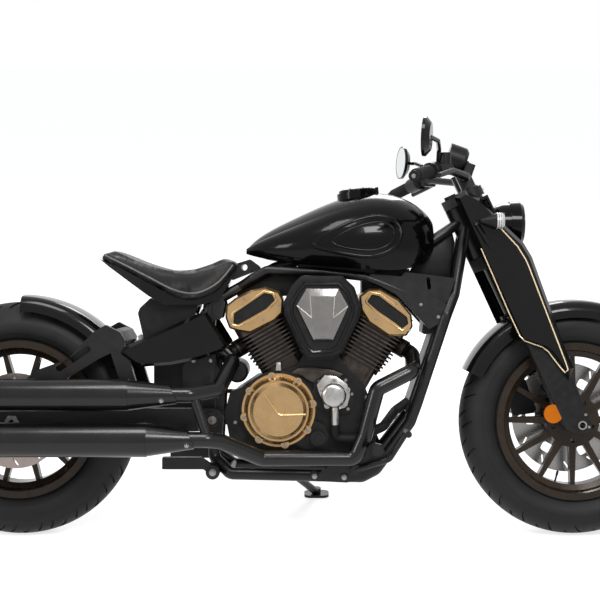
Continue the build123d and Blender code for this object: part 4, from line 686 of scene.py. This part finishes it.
def add_screw(shape, centre, outward, radius):
    """A flanged hexagon screw standing on a surface."""
    for sides, wide, low, high in (WASHER, HEAD):
        foot = radius / 1000 * wide
        middle = radius / 1000 * (high + low) / 2
        made = bmesh.ops.create_cone(
            shape, cap_ends=True, segments=sides, radius1=foot, radius2=foot * TAPER,
            depth=radius / 1000 * (high - low), matrix=facing(centre, outward) @ Matrix.Translation((0, 0, middle)),
        )
        if sides == HEAD[0]:
            rim = {e for v in made["verts"] for e in v.link_edges}
            round_edges(shape, list(rim), radius * HEAD_BEVEL, 1)


def stamp(name, rows, body="chassis", slot="steel", both=False):
    """Makes one piece of the screws in rows of (centre, outward, radius), on both sides where asked."""
    shape = bmesh.new()
    for centre, outward, radius in rows:
        add_screw(shape, centre, outward, radius)
    add_piece(name, both_sides(shape) if both else shape, slot, body)


def on_side(places, y, radius):
    """Screw rows at (x, z) places, looking out from the bike at y, all in millimetres."""
    return [(place, LEFT if y > 0 else RIGHT, radius) for place in at_side(places, y)]


def round_side(x, y, z, reach, count, first, radius):
    """Screw rows round a centre in the wheel's plane; first is the angle of the first one in degrees."""
    angles = [math.radians(first) + math.tau * i / count for i in range(count)]
    return on_side([(x + reach * math.cos(a), z + reach * math.sin(a)) for a in angles], y, radius)


# %% Screws of the engine
engine_rows = round_side(-58, -142, 356, 95, 8, 11, 5.5)
engine_rows += round_side(93, -145, 399, 37, 5, 20, 4.2)
engine_rows += round_side(57, 147, 300, 68, 8, 12, 6)
engine_rows += on_side([(52, 432), (124, 436), (140, 398), (130, 358)], -118, 4.5)
engine_rows += on_side(
    [(192, 320), (190, 252), (160, 210), (96, 206), (4, 208), (180, 388), (-176, 320), (-150, 392)], -105, 5,
)
engine_rows += on_side([(192, 320), (190, 252), (160, 212), (180, 388), (10, 208)], 105, 5)
stamp("engine_screws", engine_rows)

# %% [markdown]
# Above the clutch cover sits the water pump: a dished cap on a casing with many corners. A curved piece of the
# crankcase runs over it, and a small bracket stands behind it. That is one turned shape and three plates.

# %% Water pump and the casing above it
PUMP_CAP = [(0, 22.2), (22, 22.2), (29, 20), (33, 15), (34, 8), (34, 0), (0, 0)]
PUMP_BASE = [(50, 404), (44, 424), (66, 452), (98, 448), (128, 428), (137, 396), (128, 366), (100, 354), (66, 368)]
CASE_ARC = [
    (-30, 452), (-6, 468), (30, 472), (80, 466), (118, 452), (104, 438), (60, 446), (38, 428), (24, 434), (6, 446),
    (-14, 452),
]
CASE_BRACKET = [(-68, 450), (-50, 450), (-52, 484), (-64, 484)]
pump_case = [turned(PUMP_CAP, at(91, -132, 396), RIGHT), plate(PUMP_BASE, -117, -136, 5)]
add_piece("pump_case", gather(pump_case), "silver_metal")
add_piece("case_arc", plate(CASE_ARC, -104, -118, 3), "fin_metal")
add_piece("case_bracket", plate(CASE_BRACKET, -104, -118, 3), "silver_metal")

# %% [markdown]
# Between the barrels, under the tank and behind the neck sits what the photograph shows as dark shapes. We
# model an intake box, the starter motor, backing plates behind the fins and a few dark panels. They close the
# gaps that would otherwise show the background through the engine.

# %% Dark shapes between the barrels and at the neck
INTAKE = [(-30, 652), (150, 652), (176, 618), (126, 505), (92, 478), (26, 478), (-10, 505), (-62, 618)]
REAR_BACKING = [(-150, 524), (-126, 536), (-80, 457), (-100, 442)]
FRONT_BACKING = [(262, 524), (240, 536), (190, 457), (210, 442)]
COIL_BOX = [(-178, 690), (-150, 712), (-70, 740), (12, 744), (12, 664), (-60, 662), (-110, 656), (-170, 636)]
GUSSET = [(296, 712), (330, 770), (374, 806), (424, 846), (432, 812), (416, 704)]
NECK_BOX = [(170, 738), (170, 662), (215, 656), (262, 632), (300, 660), (304, 738)]
SKIRT = [(-6, 756), (-6, 722), (206, 722), (206, 756)]
STARTER = [(0, 150), (24, 150), (30, 144), (30, 0), (0, 0)]
PANELS = (
    (COIL_BOX, 38, -38, 5), (GUSSET, 14, -14, 4), (NECK_BOX, 38, -38, 5), (SKIRT, -66, -70, 1), (SKIRT, 70, 66, 1),
)
add_piece("intake_box", plate(INTAKE, 50, -50, 6), "black_plastic")
backing = [plate(outline, 50, -50, 4) for outline in (REAR_BACKING, FRONT_BACKING)]
add_piece("barrel_backing", gather(backing), "engine_black")
add_piece("dark_panels", gather([plate(*row) for row in PANELS]), "black_plastic")
add_piece("starter_motor", turned(STARTER, at(-172, 75, 455), RIGHT), "engine_black")

# %% [markdown]
# The gold covers have a few details of their own: a raised line bent like a wide V across the clutch cover, and
# on each rocker cover four screws and a lip round its raised middle.

# %% Line on the clutch cover, screws and lips of the rocker covers
V_LINE = ((-95, 402), (-88, 392), (-60, 352), (-54, 347), (-46, 346), (15, 348))
add_piece("clutch_line", bead(at_side(V_LINE, -168), 3), "gold_cover")
ROCKER_SCREWS = ((-152, 656), (-100, 600), (-57, 640), (-188, 592), (262, 643), (206, 601), (172, 644), (298, 570))
stamp("rocker_screws", on_side(ROCKER_SCREWS, -95.5, 4.2), both=True)
INSERTS = (
    ((-186, 586), (-184, 618), (-99, 677), (-73, 672), (-63, 651), (-89, 624), (-134, 598), (-167, 581)),
    ((178, 648), (193, 673), (218, 669), (297, 609), (301, 587), (279, 569), (259, 583), (208, 618)),
)
lips = [bead(at_side(outline, -96), 2.2, closed=True) for outline in INSERTS]
add_piece("rocker_insert_lips", both_sides(gather(lips)), "gold_cover")

# %% [markdown]
# The air cleaner's cover is black with a grey metal plate cut like a gem: a rim that slopes up to a raised
# table in the middle, with raised ridges along the folds whose brighter silver is a painted highlight.

# %% Facets and screws of the air cleaner
GEM_RIM = ((17, 684), (102, 684), (128, 637), (87, 548), (36, 548), (-9, 639))
GEM_TABLE = ((26, 664), (93, 664), (89, 606), (83, 553), (40, 553), (30, 606))
# The folds where the plate's edges catch the light; the beads laid on them carry a painted highlight.
GEM_FOLD_GLINTS = (((27, 663), (31, 607)), ((92, 663), (88, 607)), ((31, 607), (-8, 639)), ((88, 607), (127, 637)))
gem = bmesh.new()
foot = [gem.verts.new(place) for place in at_side(GEM_RIM, -189)]
rim = [gem.verts.new(place) for place in at_side(GEM_RIM, -199)]
table = [gem.verts.new(place) for place in at_side(GEM_TABLE, -204.5)]
for low, high in ((foot, rim), (rim, table)):
    for i in range(len(low)):
        j = (i + 1) % len(low)
        gem.faces.new((low[i], low[j], high[j], high[i]))
gem.faces.new(table)
bmesh.ops.recalc_face_normals(gem, faces=gem.faces)
round_edges(gem, [e for e in gem.edges if not (e.verts[0] in foot and e.verts[1] in foot)], 0.9)
add_piece("air_plate_facets", gem, "plate_grey", smooth=12)
# Beads of a lighter silver than the plate on the folds: raised ridges, their lighter tone a painted highlight.
ridges = [bead(at_side(line, -204.2), 1.6) for line in GEM_FOLD_GLINTS]
add_piece("air_plate_fold_glints", gather(ridges), "silver_metal")
AIR_SCREWS = ((8, 703), (108, 703), (148, 642), (104, 516), (18, 514), (-28, 646))
stamp("air_cleaner_screws", on_side(AIR_SCREWS, -189.5, 4.2), slot="black_plastic")
AIR_RIM = (
    (-22.76, 642.48), (-3.84, 677.74), (14.22, 696.66), (102.8, 696.66), (126.88, 673.44), (141.5, 630.44),
    (136.34, 608.94), (100.22, 530.68), (84.74, 519.5), (33.14, 515.2), (15.08, 534.12), (-21.04, 615.82),
)
add_piece("air_cleaner_rim", bead(at_side(AIR_RIM, -190.5), 5, closed=True), "gloss_plastic")

# %% [markdown]
# ## Frame, exhaust and wheel fasteners
#
# The same screws, larger, hold the exhaust sleeves, the frame's lugs, the brake discs and the calipers.

# %% Bolts on the frame and the exhaust
CHAMFER = 1.5
BOSSES = ((39, -116, 177, 13, 16), (119, -118, 174, 13, 14), (-236, -127, 187, 16, 4), (-236, -139, 330, 19, 5))


def boss(x, y, z, radius, high):
    """A turned boss with a chamfered rim, to sit under a bolt on the right, all in millimetres."""
    rows = [(0, high), (radius - CHAMFER, high), (radius, high - CHAMFER), (radius, -4), (0, -4)]
    return turned(rows, at(x, y, z), RIGHT, 28)


add_piece("frame_bosses", both_sides(gather([boss(*row) for row in BOSSES])), "frame_paint")
frame_rows = on_side([(39, 177), (119, 174)], -132, 7.5)
frame_rows += on_side([(-236, 187)], -131, 10) + on_side([(-236, 330)], -144, 12)
frame_rows += on_side([(330, 640), (378, 606)], -88, 5) + on_side([(-292, 486), (-244, 486)], -76, 6)
stamp("frame_bolts", frame_rows, both=True)
sleeve_rows = [(at(-360, -266.4, 394), (0, -0.9, -0.41), 6.5), (at(-293, -278.9, 279), (0, -0.9, -0.45), 6.5)]
stamp("sleeve_bolts", sleeve_rows)

# %% Bolts of the wheels and the brakes
stamp("front_disc_bolts", round_side(760, 74.8, 316, 62, 6, 30, 5.2), "front_wheel")
rear_rows = round_side(-776, -92.8, 323, 56, 6, 30, 5.2) + round_side(-776, 101.3, 323, 58, 5, 126, 6.2)
stamp("rear_wheel_bolts", rear_rows, "rear_wheel")
CALIPER_CAP = [(0, 3.5), (11, 3.5), (13, 2), (13, -2)]
caps = [turned(CALIPER_CAP, fork_point(s, t, 109), LEFT) for s, t in ((130, -100), (92, -108))]
add_piece("caliper_caps", gather(caps), "engine_black", "steering")


def on_fork(places, y, radius):
    """Screw rows at (s, t) places along the fork, looking out from the bike at y, all in millimetres."""
    return [(fork_point(s, t, y), LEFT if y > 0 else RIGHT, radius) for s, t in places]


steering_rows = on_fork([(144, -76), (66, -84)], 109, 5.2)
for y in (-140, 140):
    steering_rows += on_fork([(-12, 14), (22, 20)], y, 4) + on_fork([(300, -5)], y, 6.2)
steering_rows += [(fork_point(s, 28.5, y), FORK_FORWARD, 4.2) for y in (-112, 112) for s in (497, 511, 690)]
stamp("steering_bolts", steering_rows, "steering")

# %% Tyre valves
VALVE = [(0, 32), (2.8, 32), (3.4, 30), (3.4, 20), (2.6, 19), (2.6, 0), (0, 0)]
VALVE_FOOT = 0.180
for body, axle, degrees in (("front_wheel", FRONT_AXLE, 255), ("rear_wheel", REAR_AXLE, 240)):
    inward = Vector((-math.cos(math.radians(degrees)), 0, -math.sin(math.radians(degrees))))
    add_piece(body + "_valve", turned(VALVE, axle - inward * VALVE_FOOT, inward, 16), "grip_rubber", body)

# %% [markdown]
# ## Tank, fork panels and lacquer lines
#
# The tank's side carries a pressed oval with a long tail, a place for a badge that stays bare. It is two ridges
# laid on the tank's curve. The panels beside the fork carry a slim cream-gold line along their edge, which is
# laid on in the same way, so that it follows the panel over its sloping border. Down the front edge it is a
# pinstripe; where it runs back up the rear edge it is partly a painted highlight, the light that edge catches.

# %% Oval on the tank
BADGE = [
    (34, 805), (62, 826), (104, 849), (150, 869), (200, 883), (246, 876), (274, 850), (272, 815), (246, 784),
    (200, 768), (140, 773), (80, 786), (46, 794),
]
BADGE_INNER = [
    (82, 813), (112, 832), (150, 850), (198, 865), (236, 862), (256, 842), (254, 818), (234, 796), (198, 785),
    (140, 789), (96, 800),
]
tank_surface = surface_of(node["fuel_tank"])
ridges = []
for side in (-1, 1):
    for outline, lift, radius in ((BADGE, -3, 6.5), (BADGE_INNER, -1.8, 3.8)):
        ridges.append(bead(drop_on(tank_surface, refine(outline, True), side, lift), radius, closed=True))
add_piece("tank_oval", gather(ridges), "gloss_black", smooth=60)

# %% Lines on the fork panels
# Down the panel's front edge these points make a real pinstripe; the run back up its rear edge is partly a painted
# highlight, cream-gold where that edge catches the light.
STRIPE_AND_GLINT = [
    (530, 852), (581, 797), (603, 762), (611, 744), (710, 486), (716, 468), (711, 459), (698, 474), (667, 515),
    (651, 527), (601, 545), (590, 556), (560, 620), (520, 712), (480, 803),
]
STRIPE_STEPS = 8
panel_surface = surface_of(node["fork_covers"])
line = [
    (x0 + (x1 - x0) * i / STRIPE_STEPS, z0 + (z1 - z0) * i / STRIPE_STEPS)
    for (x0, z0), (x1, z1) in zip(STRIPE_AND_GLINT, STRIPE_AND_GLINT[1:]) for i in range(STRIPE_STEPS)
]
# One cream-gold bead on each side: pinstripe along the front edge, painted edge highlight along the rear.
for side, label in ((-1, "right"), (1, "left")):
    shape = bead(drop_on(panel_surface, line, side, 0.4), 1.8, sides=1)
    add_piece("stripe_and_glint_" + label, shape, "gloss_plastic", "steering", material="stripe_gold")

# %% [markdown]
# ## Lamps and the dial
#
# A headlamp is a glass in front of a bright bowl with a bulb in it; seen from any side it is the bowl that
# makes it look like a lamp. The round instrument is a black dial with raised white figures, ticks and a red
# needle under a glass.

# %% Headlamp bowl and bulb
LAMP = at(606, 0, 865)
BOWL = [(46.2, -0.6), (36, -3.2), (28, -5.8), (20, -8), (9, -10.8), (9, -12.5), (0, -12.5)]
BULB = [(0, -2), (4, -3), (6.2, -7), (6.2, -13)]
RING = [(48.5, 13.5), (50, 15.5), (53, 15.8), (54.5, 14.6), (54.5, 12), (48.5, 12)]
bowl, bulb, ring = (turned(rows, LAMP, FORWARD, steps) for rows, steps in ((BOWL, 64), (BULB, 24), (RING, 64)))
add_piece("headlamp_bowl", bowl, "lens_clear", "steering", smooth=50, material="tube_chrome")
add_piece("headlamp_bulb", bulb, "lens_clear", "steering", material="plate_white")
add_piece("headlamp_ring", ring, "gloss_black", "steering")

# %% Indicator lenses
LENS = [
    (21.4, 0), (21.4, 4), (20.6, 5), (21.4, 6), (21.4, 10), (20.6, 11), (21.4, 12), (21, 16), (16.5, 20.5),
    (8, 20.8), (7, 20), (0, 20),
]
for name, place, outward, body in (
    ("front_indicator_lenses", at(521, -190, 864), FORWARD, "steering"),
    ("rear_indicator_lenses", at(-1146, -150, 556), BACK, "chassis"),
):
    lens = both_sides(turned(LENS, place, outward, 32))
    add_piece(name, lens, "lens_clear", body, material="lens_frosted")

# %% The dial's face and its marks
POD_TILT = math.radians(20)
POD_OUT = Vector((-math.cos(POD_TILT), 0, math.sin(POD_TILT)))
POD_UP = Vector((math.sin(POD_TILT), 0, math.cos(POD_TILT)))
DIAL = at(436, 0, 1047) + POD_OUT * 0.0203
SWEEP_FROM, SWEEP, TICKS, TICKS_PER_FIGURE = 225, 270, 36, 4
dial_place = Matrix.Translation(DIAL) @ Matrix((RIGHT, POD_UP, POD_OUT)).transposed().to_4x4()


def on_dial(degrees, reach, lift):
    """The matrix of a place on the dial, in degrees and in millimetres from its middle and its foot."""
    angle = math.radians(degrees)
    return dial_place @ Matrix.Translation(at(reach * math.cos(angle), reach * math.sin(angle), lift))


def spoke_box(shape, degrees, reach, lift, size):
    """A box on the dial that points away from its middle."""
    add_box(shape, on_dial(degrees, reach, lift) @ Matrix.Rotation(math.radians(degrees), 4, "Z"), size)


FACE = [(31.6, -0.2), (31.6, 0.6), (0, 0.6)]
add_piece("dial_face", turned(FACE, DIAL, POD_OUT, 48), "black_plastic", "steering")
marks = bmesh.new()
for i in range(TICKS + 1):
    long = 4.5 if i % TICKS_PER_FIGURE == 0 else 2.4
    spoke_box(marks, SWEEP_FROM - SWEEP * i / TICKS, 29.5 - long / 2, 0.9, (long, 0.7, 0.6))
for i in range(0, TICKS + 1, TICKS_PER_FIGURE):
    figure = bpy.data.curves.new("figure", "FONT")
    figure.body = str(i * 5)
    figure.size = 0.0052
    figure.align_x = "CENTER"
    figure.align_y = "CENTER"
    figure.extrude = 0.0003
    letters = mesh_of(figure)
    letters.transform(on_dial(SWEEP_FROM - SWEEP * i / TICKS, 20.5, 0.9))
    pour(marks, letters)
add_piece("dial_figures", marks, "plate_white", "steering")

# %% The dial's needle and glass
needle = bmesh.new()
spoke_box(needle, SWEEP_FROM, 9, 1.8, (30, 1.1, 0.6))
hub = turned([(0, 3), (3.5, 2.8), (4, 2), (4, 0.6)], DIAL, POD_OUT, 24)
add_piece("dial_needle", gather([needle, hub]), "lens_red", "steering")
GLASS = [(31.7, 3.4), (31.7, 4), (20, 4.6), (0, 4.8)]
add_piece("dial_glass", turned(GLASS, DIAL, POD_OUT, 48), "lens_clear", "steering")

# %% [markdown]
# ## Things the rider touches
#
# Rubber grips and pegs are ribbed so that gloves and boots don't slip. Each sleeve is one turned profile with a
# rib every few millimetres. The fuel cap has a small cover over its keyhole and a ring of screws.

# %% Ribbed sleeves
RIB_RISE = 1.2
RIB_SLOPE = 0.8
GRIP_START, GRIP_END = at(338, -262, 990), at(287, -385, 968)


def ribbed(name, start, finish, radius, ribs, body):
    """A ribbed rubber sleeve between two places, on both sides of the bike; its radius is in millimetres."""
    way = finish - start
    pitch = way.length * 1000 / ribs
    top = radius + RIB_RISE
    rows = [(radius - 1, 0)]
    for i in range(ribs):
        low = pitch * (i + 0.15)
        high = pitch * (i + 0.85)
        rows += [(radius, low), (top, low + RIB_SLOPE), (top, high - RIB_SLOPE), (radius, high)]
    rows.append((radius - 1, pitch * ribs))
    add_piece(name, both_sides(turned(rows, start, way, 28)), "grip_rubber", body, smooth=25)


grip = GRIP_END - GRIP_START
ribbed("grip_ribs", GRIP_START + grip * 0.13, GRIP_START + grip * 0.93, 16.2, 22, "steering")
ribbed("peg_ribs", at(200, -214, 260.4), at(200, -296, 267.7), 15.2, 9, "chassis")
stamp("bar_end_bolts", [(GRIP_START + grip * 1.058, grip, 6.2)], "steering", both=True)

# %% Fuel cap
CAP_UP = Vector((-0.1, 0, 1)).normalized()
CAP_ACROSS = Vector((1, 0, 0.1)).normalized()
CAP_TOP = at(158, 0, 951) + CAP_UP * 0.0095
CAP_SCREWS, CAP_SCREW_REACH = 6, 0.036
key_cover = turned([(0, 2.4), (10.5, 2.4), (12.5, 1.2), (12.5, -1)], CAP_TOP, CAP_UP, 32)
add_piece("cap_key_cover", key_cover, "gloss_black", "cap")
cap_rows = []
for i in range(CAP_SCREWS):
    angle = math.tau * i / CAP_SCREWS
    spoke = CAP_ACROSS * math.cos(angle) + LEFT * math.sin(angle)
    cap_rows.append((CAP_TOP + spoke * CAP_SCREW_REACH, CAP_UP, 3.4))
stamp("cap_screws", cap_rows, "cap")

# %% [markdown]
# Back at the fork, each panel has a short raised vent near its top, laid on in the same way as its line.

# %% Vents of the fork panels
VENT = [(466, 866), (484, 838), (503, 806)]
vents = [bead(drop_on(panel_surface, refine(VENT), side, -2), 7.5) for side in (-1, 1)]
add_piece("fork_vents", gather(vents), "gloss_plastic", "steering")

# %% [markdown]
# ## Cooling, rear end and plate
#
# The radiator is a stack of thin fins between two tanks; from the front it reads as fine dark lines. At the tail
# the lamp's lens is ribbed and the plate, which stays blank, is held by two screws in a thin frame.

# %% Radiator fins
FINS = 34
CORE_TOP, CORE_FOOT = at(421.6, 0, 622), at(321.6, 0, 335)
fall = CORE_FOOT - CORE_TOP
fin_turn = Matrix.Rotation(-math.atan2(fall.x, fall.z), 4, "Y")
core = bmesh.new()
for i in range(FINS):
    middle = CORE_TOP + fall * (i + 1.5) / (FINS + 2)
    add_box(core, Matrix.Translation(middle) @ fin_turn, (3, 104, 2.2))
add_piece("radiator_fins", core, "engine_black", material="steel")

# %% Tail lamp ribs, plate frame and screws
RIB_PITCH = 7.8
rib_turn = Matrix.Rotation(math.radians(-6), 4, "Y")
tail_ribs = bmesh.new()
for i in range(-6, 7):
    add_box(tail_ribs, Matrix.Translation(at(-1181.5, RIB_PITCH * i, 588)) @ rib_turn, (1.4, 2.2, 24))
add_piece("tail_lamp_ribs", tail_ribs, "lens_red")
PLATE_CORNERS = ((-98, 554), (98, 554), (98, 348), (-98, 348))
plate_frame = bead([at(-1156, y, z) for y, z in PLATE_CORNERS], 2.2, closed=True)
add_piece("plate_frame", plate_frame, "black_plastic")
stamp("plate_screws", [(at(-1155.4, y, 530), BACK, 5) for y in (-60, 60)])

# %% [markdown]
# ## Room, light and camera
#
# The room is white to the camera and in reflections, but what lights the motorcycle is a softer grey sky and
# four lamps, at a level where each colour looks as it is written. The floor glows a little for the
# camera, so that it reads as white paper and still keeps the motorcycle's shadow.

# %% What the camera, gloss and glass see


def seen_by_eye(tree):
    """A node whose value is one for rays from the camera or by way of gloss or glass, and zero for the rest."""
    ray = add_node(tree, "LightPath")
    first = add_node(tree, "Math", operation="MAXIMUM")
    second = add_node(tree, "Math", operation="MAXIMUM")
    wire(tree, [
        (ray, "Is Camera Ray", first, 0), (ray, "Is Glossy Ray", first, 1), (first, "Value", second, 0),
        (ray, "Is Transmission Ray", second, 1),
    ])
    return second


# %% Floor
FLOOR_GLOW = 0.72
FLOOR_REACH = 60
floor_shape = bmesh.new()
bmesh.ops.create_grid(floor_shape, x_segments=1, y_segments=1, size=FLOOR_REACH)
floor_mesh = bpy.data.meshes.new("studio_floor")
floor_shape.to_mesh(floor_mesh)
floor_shape.free()
floor = add_object("studio_floor", floor_mesh)
tree, paper = new_material("studio_floor", {
    "Base Color": (0.55, 0.55, 0.55, 1), "Roughness": 0.9, "Specular IOR Level": 0.0,
})
glow = add_node(tree, "Emission", {"Strength": FLOOR_GLOW})
nothing = add_node(tree, "Emission", {"Strength": 0.0})
pick = add_node(tree, "MixShader")
both = add_node(tree, "AddShader")
wire(tree, [
    (seen_by_eye(tree), "Value", pick, "Fac"), (nothing, "Emission", pick, 1), (glow, "Emission", pick, 2),
    (paper, "BSDF", both, 0), (pick, "Shader", both, 1),
    (both, "Shader", tree.nodes["Material Output"], "Surface"),
])
floor_mesh.materials.append(materials["studio_floor"])
print("floor reaches", FLOOR_REACH, "m each way")

# %% Sky
world = bpy.data.worlds.new("studio")
bpy.context.scene.world = world
world.use_nodes = True
tree = world.node_tree
tree.nodes.clear()
out = add_node(tree, "OutputWorld")
seen = add_node(tree, "Background", {"Color": (1, 1, 1, 1), "Strength": 1.0})
lit = add_node(tree, "Background", {"Color": (0.96, 0.98, 1.0, 1), "Strength": 0.5})
choose = add_node(tree, "MixShader")
wire(tree, [
    (seen_by_eye(tree), "Value", choose, "Fac"), (lit, "Background", choose, 1), (seen, "Background", choose, 2),
    (choose, "Shader", out, "Surface"),
])
print("sky:", world.name)

# %% Lamps
LIT_POINT = UPRIGHT @ Vector((0, 0, 0.5))


def add_lamp(name, place, size, power):
    """A square soft lamp that looks at the middle of the motorcycle."""
    light = bpy.data.lights.new(name, "AREA")
    light.shape = "SQUARE"
    light.size = size
    light.energy = power
    lamp = add_object(name, light)
    lamp.location = place
    lamp.rotation_euler = (LIT_POINT - Vector(place)).to_track_quat("-Z", "Y").to_euler()
    print(name, power, "W")


add_lamp("key_lamp", (0.9, -3.0, 3.2), 1.0, 100)
add_lamp("fill_lamp", (-3.2, -2.4, 1.8), 1.0, 45)
add_lamp("back_lamp", (0.5, 3.4, 2.8), 1.6, 80)
add_lamp("top_lamp", (-0.5, -1.2, 3.4), 1.1, 60)

# %% Camera
EYE = (0, -3.6, 0.707)
camera_data = bpy.data.cameras.new("camera")
camera_data.sensor_width = 36
camera_data.lens = 77.14
camera_data.shift_y = -20 / 600
camera = add_object("camera", camera_data)
camera.matrix_world = UPRIGHT @ Matrix.Translation(EYE) @ Matrix.Rotation(math.radians(90), 4, "X")
bpy.context.scene.camera = camera
bpy.context.scene.view_settings.view_transform = "Standard"
print("camera lens:", round(camera_data.lens, 2), "mm")
